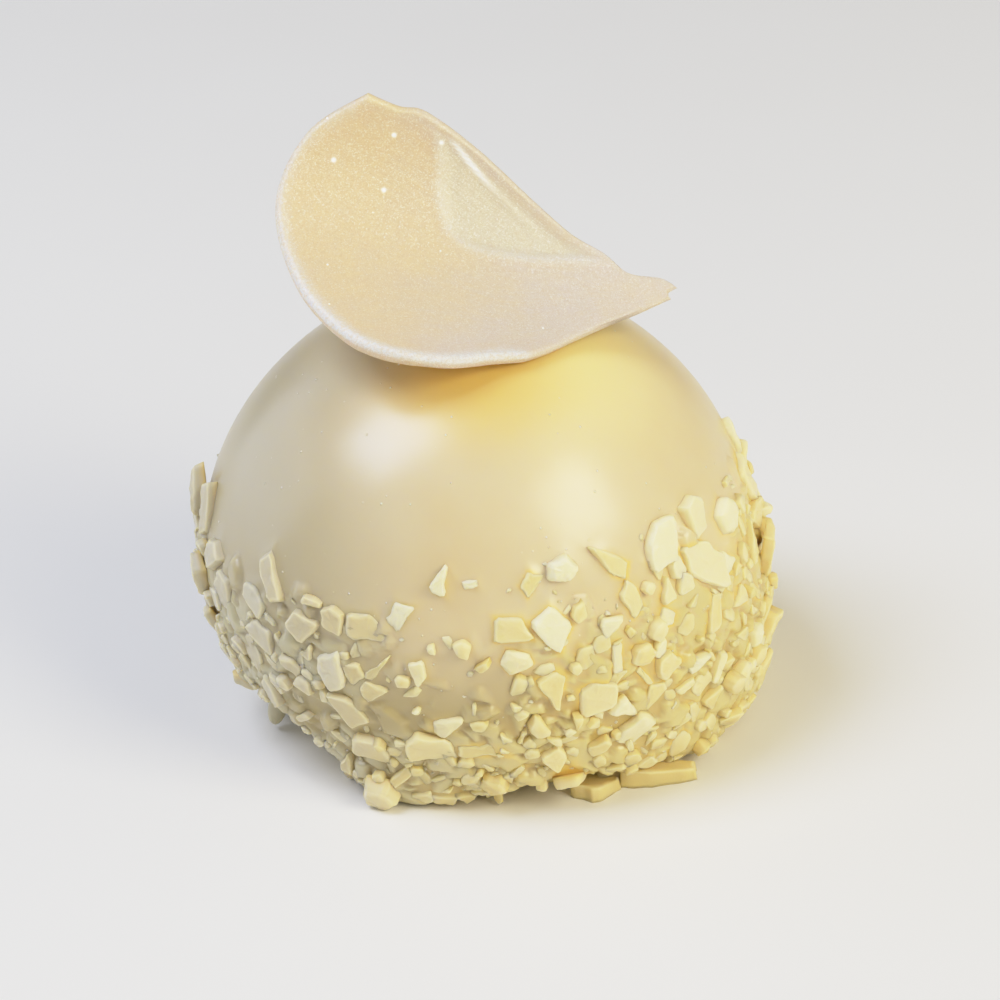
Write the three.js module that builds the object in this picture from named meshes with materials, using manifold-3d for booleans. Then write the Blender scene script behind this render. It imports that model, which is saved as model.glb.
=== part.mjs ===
// A single-portion mousse cake: a glazed dome on a narrower foot, broken white chocolate
// pressed round its lower half, and a curved chocolate petal stuck on its crown.
// Millimetres, +Z up, the origin at the middle of the flat base. -Y is the front.
import * as THREE from "three";
import { mergeVertices } from "three/addons/utils/BufferGeometryUtils.js";
import Module from "manifold-3d";

const { cos, exp, floor, max, min, sign, sin } = Math;
const radians = THREE.MathUtils.degToRad;
const { clamp, lerp, smoothstep } = THREE.MathUtils;

// The glazed dome. Its upper part is round, and its lower part draws in to the foot.
const DOME_RADIUS = 38;
const DOME_CENTRE_HEIGHT = 22.5;
const FOOT_RADIUS = 28.5;
const LEAN = 3.5; // how far the dome sits to the left of its foot
const LEAN_TOP = 33; // the height where the lean ends
const WAVES = [
  { height: 0.35, count: 2, turn: 20 },
  { height: 0.25, count: 3, turn: 75 },
];
const BODY_COLUMNS = 40;
const FOOT_ROWS = 9;
const DOME_ROWS = 12;
const BASE_TRIM = 1; // how far the foot runs on below the flat cut
const JOIN_TOLERANCE = 0.05; // how far the joined faces may stray when slivers are cleaned up

// Where the foot is uneven: two hollows that the glaze stops short of, and two fuller places
// with a negative depth. A low fall makes a sharp upper edge, and a high one a soft one. Each
// gets lower towards its sides, by DENT_NARROWING of its height at its half width.
const DENT_NARROWING = 0.4;
const DENTS = [
  { azimuth: -153, halfWidth: 18, height: 12, depth: 6, fall: 0.5 },
  { azimuth: -76, halfWidth: 20, height: 4.5, depth: 4.5, fall: 0.5 },
  { azimuth: -118, halfWidth: 15, height: 8, depth: -2.5, fall: 1.5 },
  { azimuth: -28, halfWidth: 24, height: 12, depth: -1, fall: 1.5 },
];

// The coat of broken chocolate, and where it ends and is thin.
const COAT = {
  scattered: 196,
  largest: 7.0,
  smallest: 2.9,
  falloff: 0.6, // how soon the pieces get smaller
  uneven: [0.88, 1.12],
  lowest: 1,
  crowding: 0.66, // least distance between two pieces, as a share of their mean length
  thinning: 0.7, // the height, as a share of the coat's top, where it starts to thin out
  topCover: 0.2,
  seed: 20417,
  tries: 60,
};
const COAT_TOP = { mean: 32.5, twice: 2.2, once: 2.4, turn: 40 };
const BARE_PATCHES = [
  { azimuth: -97, height: 23, halfWidth: 17, halfHeight: 8, cover: 0.08 },
  { azimuth: -112, height: 16.5, halfWidth: 9, halfHeight: 3.5, cover: 0.1 },
  { azimuth: -131, height: 13, halfWidth: 8, halfHeight: 4.5, cover: 0.2 },
];

// What the pieces have in common. Ranges are shares of a piece's length or width, or slopes.
const PIECE = {
  thickness: [1.1, 1.9],
  sink: 0.55, // how deep it sits in the glaze
  taper: [0.82, 0.96],
  tipAlong: [-0.14, 0.14],
  tipAcross: [-0.18, 0.18],
  leastEdge: 0.35, // the thinnest edge, as a share of the thickness
  drift: 0.2, // how far a corner may come off its place
  mostLift: 20,
  liftedOut: 0.7,
};

// The outlines that it breaks into, as shares of half its length and width, anticlockwise, with
// a wedge's tip first. The last value is the share of each kind among the scattered pieces.
const PIECE_KINDS = {
  plate: {
    corners: [[1, -0.55], [0.7, 0.85], [-0.35, 1], [-1, 0.15], [-0.55, -0.95]],
    slender: [0.62, 0.88], thicker: 1, crown: 1, share: 0.2,
  },
  slab: {
    corners: [[1, -0.9], [0.6, 0.9], [-0.75, 0.95], [-1, -0.7]],
    slender: [0.55, 0.85], thicker: 1, crown: 1, share: 0.24,
  },
  wedge: {
    corners: [[1, 0.05], [-0.55, 1], [-1, 0.45], [-0.8, -1]],
    slender: [0.5, 0.8], thicker: 0.95, crown: 1, share: 0.24,
  },
  stick: {
    corners: [[1, -0.6], [0.85, 0.9], [-0.95, 0.7], [-0.85, -0.95]],
    slender: [0.28, 0.45], thicker: 0.9, crown: 1, share: 0.2,
  },
  lump: {
    corners: [[1, -0.2], [0.5, 0.85], [-0.5, 0.95], [-1, -0.2], [-0.1, -1]],
    slender: [0.65, 0.9], thicker: 1.35, crown: 1.2, share: 0.12,
  },
};

// Pieces that stand out at the front, each [kind, azimuth, height, length, width, turn, lift].
// The turn runs anticlockwise from level, and the lift raises the piece's upper end.
const STANDING_OUT = [
  ["lump", -178, 34.5, 8.5, 4.4, 98, 20],
  ["stick", -169, 34, 7.4, 3.6, 108, 4],
  ["stick", -177, 28.5, 6.5, 3, 110, 6],
  ["plate", -159, 30.5, 6, 4.5, 24, 3],
  ["stick", -137, 32.5, 7.5, 3, 302, 3],
  ["slab", -128, 28, 5, 4.5, 60, 0],
  ["plate", -121, 29.5, 4.5, 4.5, -25, 0],
  ["slab", -114, 29, 6.5, 5.5, 7, 0],
  ["slab", -107, 31.5, 4.5, 3, 62, 0],
  ["wedge", -112, 24, 6.5, 1.8, 50, 0],
  ["plate", -123, 22, 7.5, 5.5, 89, 0],
  ["slab", -118, 22.5, 3.5, 3, -62, 0],
  ["wedge", -114, 20, 4.5, 4, 8, 0],
  ["slab", -104, 23.5, 4, 2.5, -69, 0],
  ["wedge", -98, 36, 5, 2.8, 70, 0],
  ["stick", -92, 35.5, 2.5, 1.5, -2, 0],
  ["plate", -106, 11.5, 8, 5, -5, 5],
  ["slab", -120, 9.5, 6, 5.5, -3, 4],
  ["lump", -120, 3, 6, 5.5, -70, 14],
  ["wedge", -100, 15.5, 6, 3.5, 25, 0],
  ["stick", -95, 11.5, 7, 3, -1, 0],
  ["lump", -94, 5, 4.5, 4, 0, 8],
  ["slab", -84, 29.5, 5.5, 4, 7, 0],
  ["slab", -76, 29, 6, 4.5, -47, 0],
  ["lump", -84, 25, 5.5, 4, -6, 0],
  ["wedge", -78, 20, 8, 5, -78, 0],
  ["slab", -79, 35, 4, 2.5, 53, 0],
  ["lump", -72, 36, 5.5, 4.5, 20, 6],
  ["wedge", -62, 36, 8.5, 3, 135, 0],
  ["plate", -48, 35.5, 7.5, 5.5, 62, 8],
  ["plate", -36, 36.5, 7, 5, -84, 4],
  ["plate", -37, 30, 10.5, 6, -39, 0],
  ["plate", -58, 30, 5.6, 2.8, -74, 0],
  ["stick", -38, 23, 5.5, 3.4, 66, 0],
  ["stick", -64, 23, 5.2, 2.2, 83, 0],
  ["lump", -58, 22.5, 4.3, 3, 7, 0],
  ["plate", -70, 18, 6.5, 5.5, -13, 0],
  ["wedge", -16, 27, 8.5, 4, 88, 4],
  ["wedge", -10, 22.5, 10, 6.5, -88, 16],
  ["wedge", -7, 28.5, 5.5, 4, 20, 6],
  ["slab", -12, 12.5, 6, 3.5, 62, 16],
  ["wedge", -16, 7, 7, 3.5, 56, 18],
  ["stick", 2, 37, 6.2, 2.2, 96, 3],
  ["plate", -5, 32.5, 8.6, 5, 96, 0],
  ["wedge", 3, 34, 5, 3.2, 80, 24],
  ["plate", -9, 10, 5, 3.6, 60, 10],
];

// Pieces that came off and stick to the foot, lying level: [kind, x, y, length, width,
// thickness, turn]. The first one reaches in under the glaze and holds the other two.
const AT_THE_FOOT = [
  ["stick", 13.4, -24.4, 10.0, 8.4, 1.5, 25],
  ["plate", 10.4, -29.6, 6.8, 5.6, 1.7, 32],
  ["stick", 19.0, -27.5, 11.6, 4.0, 2.2, 3],
];

// The petal: a sheet spread with one stroke of a knife and set round a cylinder.
const SHEET_RADIUS = 27;
const PETAL_TILT = 13.8; // how far its long axis drops towards the right
const PETAL_REST = 17; // how far in front of the crown it rests
const PETAL_GAP = 0.35;
const PETAL_THICKNESS = { start: 1.6, tip: 1.0, bead: 0.8, upperBead: 0.4, beadWidth: 0.09, rim: 0.5 };
const BEAD_END = [0.36, 0.46]; // where along the lower edge its bead runs out
const PETAL_COLUMNS = 24;
const PETAL_ROWS = 16;
const RIM_SHARE = 0.035; // the outermost band, as a share of the sheet, where it rounds off

// The flat sheet's four edges, as [along, across] from where it rests on the dome. The stroke
// starts in the round edge and runs out in the ragged tip.
const PETAL_EDGES = {
  start: [
    [-16.2, -10.5], [-20.7, -9.9], [-25.6, -6.5], [-32.4, 2.8],
    [-36.6, 14.8], [-34.0, 25.0], [-26.9, 31.7],
  ],
  upper: [
    [-26.9, 31.7], [-22.5, 30.7], [-18.7, 30.6], [-10.9, 26.8], [-2.7, 21.5],
    [3.4, 17.7], [8.2, 15.8], [11.9, 13.6], [16.3, 13.7], [18.6, 12.8],
  ],
  lower: [
    [-16.2, -10.5], [-11.2, -9.3], [-5.7, -6.2], [-1.3, -4.2], [1.4, -2.2],
    [5.8, 2.0], [10.1, 5.6], [14.5, 8.6], [17.9, 11.0],
  ],
  tip: [[17.9, 11.0], [17.5, 11.8], [18.6, 12.8]],
};

// The same draws come out each time.
function seeded(seed) {
  return () => {
    seed = (seed + 0x6d2b79f5) | 0;
    let mixed = Math.imul(seed ^ (seed >>> 15), 1 | seed);
    mixed = (mixed + Math.imul(mixed ^ (mixed >>> 7), 61 | mixed)) ^ mixed;
    return ((mixed ^ (mixed >>> 14)) >>> 0) / 4294967296;
  };
}

function between([low, high], random) {
  return lerp(low, high, random());
}

// How far apart two azimuths are, in degrees, from -180 to 180.
function turnBetween(azimuth, other) {
  return ((azimuth - other + 540) % 360 + 360) % 360 - 180;
}

// A point on the glaze. The slope runs from -90 at the base through 0 at the widest to 90.
function bodyPoint(azimuth, slope) {
  const around = radians(azimuth);
  const rise = radians(slope);
  const radius = slope < 0
    ? FOOT_RADIUS + (DOME_RADIUS - FOOT_RADIUS) * cos(rise)
    : DOME_RADIUS * cos(rise);
  const height = DOME_CENTRE_HEIGHT + (slope < 0 ? DOME_CENTRE_HEIGHT : DOME_RADIUS) * sin(rise);
  const flat = clamp(radius / DOME_RADIUS, 0, 1);
  const wave = WAVES.reduce(
    (sum, { height: swell, count, turn }) => sum + swell * cos(radians(count * (azimuth - turn))), 0);
  const reach = radius + wave * flat * flat - dentDepth(azimuth, height);
  const shift = -LEAN * smoothstep(height, 0, LEAN_TOP);
  return new THREE.Vector3(shift + reach * cos(around), reach * sin(around), height);
}

function dentDepth(azimuth, height) {
  return DENTS.reduce((sum, dent) => {
    const across = turnBetween(azimuth, dent.azimuth) / dent.halfWidth;
    const up = height / (dent.height * max(0.1, 1 - DENT_NARROWING * across * across));
    return sum + dent.depth * exp(-(across ** 4)) * max(0, 1 - up * up) ** dent.fall;
  }, 0);
}

// The slope at which the glaze has this height.
function slopeAt(height) {
  const above = height - DOME_CENTRE_HEIGHT;
  return THREE.MathUtils.radToDeg(
    Math.asin(clamp(above / (above < 0 ? DOME_CENTRE_HEIGHT : DOME_RADIUS), -1, 1)));
}

// Where a piece sits: a frame with its axes level, up the glaze and straight out of it.
function glazeFrame(azimuth, height) {
  const slope = slopeAt(height);
  const step = 0.5;
  const point = bodyPoint(azimuth, slope);
  const level = bodyPoint(azimuth + step, slope).sub(bodyPoint(azimuth - step, slope)).normalize();
  const climb = bodyPoint(azimuth, min(slope + step, 90)).sub(bodyPoint(azimuth, max(slope - step, -90)));
  const out = level.clone().cross(climb).normalize();
  const up = out.clone().cross(level);
  return { point, level, up, out };
}

// A lathe turns about Y, so it is stood up, and each of its points is put on the uneven dome.
function bodyGeometry() {
  const slopes = [];
  for (let i = 0; i <= FOOT_ROWS; i += 1) slopes.push(-90 + (90 * i) / FOOT_ROWS);
  for (let i = 1; i < DOME_ROWS; i += 1) slopes.push((90 * i) / DOME_ROWS);
  const profile = slopes.map((slope) => new THREE.Vector2(bodyPoint(0, slope).x, bodyPoint(0, slope).z));
  const bottom = new THREE.Vector2(0, -BASE_TRIM);
  const skirt = new THREE.Vector2(FOOT_RADIUS, -BASE_TRIM);
  const crown = new THREE.Vector2(0, DOME_CENTRE_HEIGHT + DOME_RADIUS);
  const geometry = new THREE.LatheGeometry([bottom, skirt, ...profile, crown], BODY_COLUMNS);
  const position = geometry.getAttribute("position");
  const rows = profile.length + 3;
  for (let i = 0; i < position.count; i += 1) {
    const row = i % rows;
    const azimuth = (360 * floor(i / rows)) / BODY_COLUMNS;
    const place = bodyPoint(azimuth, slopes[clamp(row - 2, 0, slopes.length - 1)]);
    if (row === 0) place.set(0, 0, -BASE_TRIM);
    if (row === 1) place.z = -BASE_TRIM;
    if (row === rows - 1) place.set(-LEAN, 0, crown.y);
    position.setXYZ(i, place.x, place.y, place.z);
  }
  return geometry;
}

// How much of the glaze the coat covers at a place, from 0 to 1.
function coatCover(azimuth, height) {
  const top = COAT_TOP.mean + COAT_TOP.twice * cos(radians(2 * azimuth))
    + COAT_TOP.once * cos(radians(azimuth + COAT_TOP.turn));
  if (height > top) return 0;
  const thinned = 1 - (1 - COAT.topCover) * smoothstep(height / top, COAT.thinning, 1);
  return BARE_PATCHES.reduce((covered, patch) => {
    const across = turnBetween(azimuth, patch.azimuth) / patch.halfWidth;
    const up = (height - patch.height) / patch.halfHeight;
    return covered * lerp(1, patch.cover, exp(-((across * across + up * up) ** 2)));
  }, thinned);
}

// The kind of piece that a draw picks, by the kinds' shares.
function pickKind(draw) {
  let left = draw;
  return Object.keys(PIECE_KINDS).find((kind) => (left -= PIECE_KINDS[kind].share) < 0) ?? "lump";
}

// The pieces scattered by rule, the largest first, clear of those already there.
function scatterPieces(placed, random) {
  const highest = COAT_TOP.mean + COAT_TOP.twice + COAT_TOP.once;
  const pieces = [];
  for (let i = 0; i < COAT.scattered; i += 1) {
    const usual = lerp(COAT.largest, COAT.smallest, (i / COAT.scattered) ** COAT.falloff);
    const length = usual * between(COAT.uneven, random);
    for (let attempt = 0; attempt < COAT.tries; attempt += 1) {
      const azimuth = 360 * random();
      const height = lerp(COAT.lowest, highest, random());
      if (random() > coatCover(azimuth, height)) continue;
      const { point } = glazeFrame(azimuth, height);
      const near = (other) => other.point.distanceTo(point) < (COAT.crowding * (other.length + length)) / 2;
      if (placed.some(near)) continue;
      const kind = pickKind(random());
      const width = length * between(PIECE_KINDS[kind].slender, random);
      const turn = 360 * random();
      const lift = PIECE.mostLift * random() ** 3;
      placed.push({ kind, azimuth, height, length, width, turn, lift, point });
      pieces.push(placed.at(-1));
      break;
    }
  }
  return pieces;
}

// One broken piece, flat in XY, with uneven corners and a smaller, slightly tipped top.
function pieceGeometry({ kind, length, width, given }, random) {
  const { corners, thicker, crown } = PIECE_KINDS[kind];
  const thickness = given ?? between(PIECE.thickness, random) * thicker;
  const taper = between(PIECE.taper, random);
  const tipAlong = between(PIECE.tipAlong, random);
  const tipAcross = between(PIECE.tipAcross, random);
  const drifted = (place) => place + between([-PIECE.drift, PIECE.drift], random);
  const points = [[0, 0, 0], [0, 0, thickness * crown]];
  const triangles = [];
  corners.forEach(([along, across], i) => {
    const [x, y] = [(length / 2) * drifted(along), (width / 2) * drifted(across)];
    const top = max(thickness * PIECE.leastEdge, thickness + taper * (tipAlong * x + tipAcross * y));
    points.push([x, y, 0], [x * taper, y * taper, top]);
    const [low, high] = [2 + 2 * i, 3 + 2 * i];
    const [nextLow, nextHigh] = [2 + 2 * ((i + 1) % corners.length), 3 + 2 * ((i + 1) % corners.length)];
    triangles.push(0, nextLow, low, 1, high, nextHigh, low, nextLow, nextHigh, low, nextHigh, high);
  });
  return new THREE.BufferGeometry()
    .setFromPoints(points.map((point) => new THREE.Vector3(...point)))
    .setIndex(triangles);
}

// Puts a piece on the glaze, turned in the surface, with its upper end lifted out.
function onGlaze(geometry, { azimuth, height, length, turn, lift }) {
  const { point, level, up, out } = glazeFrame(azimuth, height);
  const uphill = sign(sin(radians(turn))) || 1;
  const raised = PIECE.liftedOut * (length / 2) * sin(radians(lift));
  geometry.rotateY(radians(-lift * uphill));
  geometry.translate(0, 0, raised - PIECE.sink);
  geometry.rotateZ(radians(turn));
  return geometry.applyMatrix4(new THREE.Matrix4().makeBasis(level, up, out).setPosition(point));
}

function coatGeometries() {
  const random = seeded(COAT.seed);
  const named = STANDING_OUT.map(([kind, azimuth, height, length, width, turn, lift]) => ({
    kind, azimuth, height, length, width, turn, lift, point: glazeFrame(azimuth, height).point,
  }));
  const scattered = scatterPieces([...named], random);
  const stuck = [...named, ...scattered].map((piece) => onGlaze(pieceGeometry(piece, random), piece));
  const fallen = AT_THE_FOOT.map(([kind, x, y, length, width, thickness, turn]) =>
    pieceGeometry({ kind, length, width, given: thickness }, random)
      .rotateZ(radians(turn))
      .translate(x, y, 0));
  return [...stuck, ...fallen];
}

// Solids are joined and cut here, so that each exported mesh is one closed body.
const wasm = await Module();
wasm.setup();

function solidOf(geometry) {
  const plain = geometry.clone();
  plain.deleteAttribute("normal");
  plain.deleteAttribute("uv");
  const merged = mergeVertices(plain, 1e-4);
  return new wasm.Manifold(new wasm.Mesh({
    numProp: 3,
    vertProperties: new Float32Array(merged.getAttribute("position").array),
    triVerts: new Uint32Array(merged.index.array),
  }));
}

function geometryOf(solid) {
  const { vertProperties, triVerts, numProp } = solid.getMesh();
  const points = new Float32Array((vertProperties.length / numProp) * 3);
  for (let i = 0; i < points.length; i += 1) points[i] = vertProperties[floor(i / 3) * numProp + (i % 3)];
  return new THREE.BufferGeometry()
    .setAttribute("position", new THREE.BufferAttribute(points, 3))
    .setIndex(new THREE.BufferAttribute(new Uint32Array(triVerts), 1));
}

// The dome and its coat as one solid, cut flat below. Joining drops loose scraps and fills
// what it seals in.
function cakeGeometry() {
  const joined = coatGeometries().reduce(
    (solid, piece) => solid.add(solidOf(piece)), solidOf(bodyGeometry()));
  const room = 4 * DOME_RADIUS;
  const below = new THREE.BoxGeometry(room, room, room).translate(0, 0, -room / 2);
  const cut = joined.subtract(solidOf(below)).simplify(JOIN_TOLERANCE);
  const [largest] = cut.decompose().sort((a, b) => b.volume() - a.volume());
  return geometryOf(largest);
}

// A point of the flat sheet, blended from its four edges.
function sheetPoint(along, across, { start, tip, lower, upper }) {
  const ends = start.getPoint(across).lerp(tip.getPoint(across), along);
  const sides = lower.getPoint(along).lerp(upper.getPoint(along), across);
  const first = start.getPoint(0).lerp(start.getPoint(1), across);
  const last = tip.getPoint(0).lerp(tip.getPoint(1), across);
  return ends.add(sides).sub(first.lerp(last, along));
}

// The frame of the cylinder that the sheet is bent round, and the line it rests along.
function sheetFrame() {
  const tilt = radians(PETAL_TILT);
  const rest = radians(PETAL_REST);
  const axis = new THREE.Vector3(cos(tilt), 0, -sin(tilt));
  const above = new THREE.Vector3(sin(tilt), 0, cos(tilt));
  const outward = above.multiplyScalar(cos(rest)).add(new THREE.Vector3(0, -sin(rest), 0));
  const towardsBack = outward.clone().cross(axis);
  const distance = DOME_RADIUS + PETAL_GAP + PETAL_THICKNESS.start / 2 + SHEET_RADIUS;
  const centre = new THREE.Vector3(-LEAN, 0, DOME_CENTRE_HEIGHT).addScaledVector(outward, distance);
  return { axis, outward, towardsBack, centre };
}

// The sheet thins out along the stroke, and it is beaded where the stroke started and below.
function petalThickness(along, across) {
  const { start, tip, bead, upperBead, beadWidth } = PETAL_THICKNESS;
  const near = (share) => exp(-((share / beadWidth) ** 2));
  const lower = bead * near(across) * (1 - smoothstep(along, ...BEAD_END));
  const upper = upperBead * near(1 - across) * (1 - along);
  return lerp(start, tip, along) + max(bead * near(along), lower, upper);
}

// Both faces of the sheet are split into triangles alike, with a strip round their edge.
function petalGeometry() {
  const frame = sheetFrame();
  const edges = Object.fromEntries(Object.entries(PETAL_EDGES).map(
    ([name, points]) => [name, new THREE.SplineCurve(points.map(([x, y]) => new THREE.Vector2(x, y)))]));
  const inner = (i, count) => lerp(RIM_SHARE, 1 - RIM_SHARE, (i - 1) / (count - 2));
  const share = (i, count) => (i === 0 || i === count ? i / count : inner(i, count));
  const points = [];
  for (const side of [1, -1]) {
    for (let i = 0; i <= PETAL_COLUMNS; i += 1) {
      for (let j = 0; j <= PETAL_ROWS; j += 1) {
        const [along, across] = [share(i, PETAL_COLUMNS), share(j, PETAL_ROWS)];
        const flat = sheetPoint(along, across, edges);
        const rim = i === 0 || j === 0 || i === PETAL_COLUMNS || j === PETAL_ROWS;
        const offset = (side * petalThickness(along, across) * (rim ? PETAL_THICKNESS.rim : 1)) / 2;
        const bend = flat.y / SHEET_RADIUS;
        points.push(frame.centre.clone()
          .addScaledVector(frame.axis, flat.x)
          .addScaledVector(frame.outward, -(SHEET_RADIUS - offset) * cos(bend))
          .addScaledVector(frame.towardsBack, (SHEET_RADIUS - offset) * sin(bend)));
      }
    }
  }
  const stride = PETAL_ROWS + 1;
  const back = (PETAL_COLUMNS + 1) * stride;
  const triangles = [];
  for (let i = 0; i < PETAL_COLUMNS; i += 1) {
    for (let j = 0; j < PETAL_ROWS; j += 1) {
      const a = i * stride + j;
      const [b, c, d] = [a + stride, a + stride + 1, a + 1];
      triangles.push(a, b, c, a, c, d, back + a, back + c, back + b, back + a, back + d, back + c);
    }
  }
  const strip = (a, b) => triangles.push(a, back + a, back + b, a, back + b, b);
  for (let i = 0; i < PETAL_COLUMNS; i += 1) {
    strip(i * stride, (i + 1) * stride);
    strip((i + 1) * stride + PETAL_ROWS, i * stride + PETAL_ROWS);
  }
  for (let j = 0; j < PETAL_ROWS; j += 1) {
    strip(PETAL_COLUMNS * stride + j, PETAL_COLUMNS * stride + j + 1);
    strip(j + 1, j);
  }
  return new THREE.BufferGeometry().setFromPoints(points).setIndex(triangles);
}

const glaze = new THREE.MeshStandardMaterial({ color: 0xe9dcb4, roughness: 0.3, metalness: 0 });
const pearlChocolate = new THREE.MeshStandardMaterial({ color: 0xe8d9bd, roughness: 0.4, metalness: 0.1 });

const group = new THREE.Group();
for (const [name, geometry, material] of [
  ["cake", cakeGeometry(), glaze],
  ["petal", petalGeometry(), pearlChocolate],
]) {
  const mesh = new THREE.Mesh(geometry, material);
  mesh.name = name;
  group.add(mesh);
}

export default group;
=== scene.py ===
"""Looks of a single-portion mousse cake.

A satin ivory glaze over a dome, broken white chocolate pressed round its lower half, and a
pearl-dusted chocolate petal on its crown. Shapes are worked out in millimetres, with -Y
towards the front, and become metres where a mesh is made.
"""

import logging
import math
from dataclasses import dataclass, field
from enum import Enum
from typing import Callable, Iterable, Sequence

import bpy
import numpy as np
from mathutils import Matrix, Vector, noise
from mathutils.kdtree import KDTree


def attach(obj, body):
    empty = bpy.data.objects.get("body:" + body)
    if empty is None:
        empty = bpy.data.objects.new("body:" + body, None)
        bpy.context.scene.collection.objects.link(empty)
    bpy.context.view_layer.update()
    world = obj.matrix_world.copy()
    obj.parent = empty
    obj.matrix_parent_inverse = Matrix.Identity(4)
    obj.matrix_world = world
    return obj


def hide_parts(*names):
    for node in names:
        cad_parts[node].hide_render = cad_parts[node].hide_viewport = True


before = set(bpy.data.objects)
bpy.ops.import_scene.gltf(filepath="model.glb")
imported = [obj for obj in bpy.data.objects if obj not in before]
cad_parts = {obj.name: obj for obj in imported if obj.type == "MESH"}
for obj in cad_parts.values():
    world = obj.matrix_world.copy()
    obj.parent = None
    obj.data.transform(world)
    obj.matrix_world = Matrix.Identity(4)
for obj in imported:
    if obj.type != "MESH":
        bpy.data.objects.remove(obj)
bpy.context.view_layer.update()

LOG = logging.getLogger("mousse_cake")
MM = 0.001
SMOOTH = {"interpolation_type": "SMOOTHSTEP"}
BLEND = {"data_type": "RGBA"}
# The sockets of a mix of colours.
SHARE, UNDER, OVER = 0, 6, 7
# Places closer than this count as the same, in mm.
SAME_MM = 0.001
# How far a piece's corners reach from its middle, as a share of its length.
CORNER_REACH = 0.62

Array = np.ndarray
Draw = Callable[[], float]


def linear(hex_colour: str) -> tuple[float, float, float, float]:
    """Turns an sRGB hex colour into Blender's linear one.

    Args:
        hex_colour: Six hex digits.

    Returns:
        Red, green, blue and an alpha of 1.
    """
    values = [int(hex_colour[i:i + 2], 16) / 255 for i in (0, 2, 4)]
    return (*[v / 12.92 if v <= 0.04045 else ((v + 0.055) / 1.055) ** 2.4 for v in values], 1.0)


def lerp(start: Array | float, end: Array | float, share: Array | float) -> Array | float:
    """Goes from start to end by a share."""
    return (1 - share) * start + share * end


def smoothstep(value: Array | float, low: float, high: float) -> Array:
    """Rises smoothly from 0 at low to 1 at high."""
    share = np.clip((value - low) / (high - low), 0, 1)
    return share * share * (3 - 2 * share)


def turn_between(azimuth: Array, other: float) -> Array:
    """Tells how far apart two azimuths are, in degrees, from -180 to 180."""
    return (azimuth - other + 540) % 360 - 180


def seeded(seed: int) -> Draw:
    """Makes a draw that gives the same numbers from 0 to 1 each time.

    Args:
        seed: Where the row of numbers starts.

    Returns:
        A function that draws the next number.
    """
    state, step, whole = seed, 0x6D2B79F5, 0xFFFFFFFF

    def draw() -> float:
        """Draws the next number."""
        nonlocal state
        state = (state + step) & whole
        mixed = ((state ^ (state >> 15)) * (1 | state)) & whole
        mixed = ((mixed + (((mixed ^ (mixed >> 7)) * (61 | mixed)) & whole)) ^ mixed) & whole
        return (mixed ^ (mixed >> 14)) / (whole + 1)

    return draw


def between(limits: Sequence[float], draw: Draw) -> float:
    """Draws a value between two limits."""
    return lerp(limits[0], limits[1], draw())


def roughly(points: Array, spacing: float, offset: float = 0.0) -> Array:
    """Reads smooth noise at each point.

    Args:
        points: Places in mm.
        spacing: About how far apart its swells lie, in mm.
        offset: Moves the pattern, so that two uses differ.

    Returns:
        One value a point, from about -1 to 1.
    """
    return np.array([noise.noise(Vector(p) / spacing + Vector((offset,) * 3)) for p in points])


def deselect_all() -> None:
    """Leaves nothing selected, so that the next operator acts on its own piece alone."""
    if bpy.context.mode != "OBJECT":
        bpy.ops.object.mode_set(mode="OBJECT")
    bpy.ops.object.select_all(action="DESELECT")


def select_only(piece: bpy.types.Object) -> None:
    """Selects one piece alone and makes it the active one.

    Args:
        piece: The piece.
    """
    deselect_all()
    piece.select_set(True)
    bpy.context.view_layer.objects.active = piece


def apply_modifier(piece: bpy.types.Object, kind: str, **settings: object) -> None:
    """Adds one modifier to a piece and applies it.

    Args:
        piece: The piece.
        kind: The modifier's type.
        settings: The modifier's settings by name.
    """
    select_only(piece)
    modifier = piece.modifiers.new(kind.lower(), kind)
    for name, value in settings.items():
        setattr(modifier, name, value)
    bpy.ops.object.modifier_apply(modifier=modifier.name)


def select_points(piece: bpy.types.Object, chosen: Array) -> None:
    """Goes into edit mode with just these points of a piece selected.

    Args:
        piece: The piece.
        chosen: One True or False for each point.
    """
    select_only(piece)
    bpy.ops.object.mode_set(mode="EDIT")
    bpy.ops.mesh.select_mode(type="VERT")
    bpy.ops.mesh.select_all(action="DESELECT")
    bpy.ops.object.mode_set(mode="OBJECT")
    piece.data.vertices.foreach_set("select", chosen)
    bpy.ops.object.mode_set(mode="EDIT")


def points_of(piece: bpy.types.Object) -> Array:
    """Reads a piece's points.

    Args:
        piece: The piece.

    Returns:
        Their places in mm.
    """
    points = np.empty(len(piece.data.vertices) * 3)
    piece.data.vertices.foreach_get("co", points)
    return points.reshape(-1, 3) / MM


def place_points(piece: bpy.types.Object, points: Array) -> None:
    """Sets a piece's points, given in mm."""
    piece.data.vertices.foreach_set("co", (points * MM).ravel())
    piece.data.update()


def write_values(piece: bpy.types.Object, values: dict[str, Array]) -> None:
    """Writes attributes with one value for each point of a piece."""
    for name, value in values.items():
        piece.data.attributes.new(name, "FLOAT", "POINT").data.foreach_set("value", value)


def nearest(points: Array, places: Array) -> tuple[Array, Array]:
    """Finds which of some places is nearest to each point.

    Args:
        points: The points.
        places: The places.

    Returns:
        How far away it is for each point, and its number.
    """
    squares = [((places - point) ** 2).sum(axis=1) for point in points]
    numbers = np.array([square.argmin() for square in squares])
    return np.sqrt([square[number] for square, number in zip(squares, numbers)]), numbers


def point_tree(points: Array) -> KDTree:
    """Puts points into a tree that finds the near ones fast.

    Args:
        points: The points.

    Returns:
        The tree, which numbers them in their order.
    """
    tree = KDTree(len(points))
    for i, point in enumerate(points):
        tree.insert(point, i)
    tree.balance()
    return tree


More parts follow.
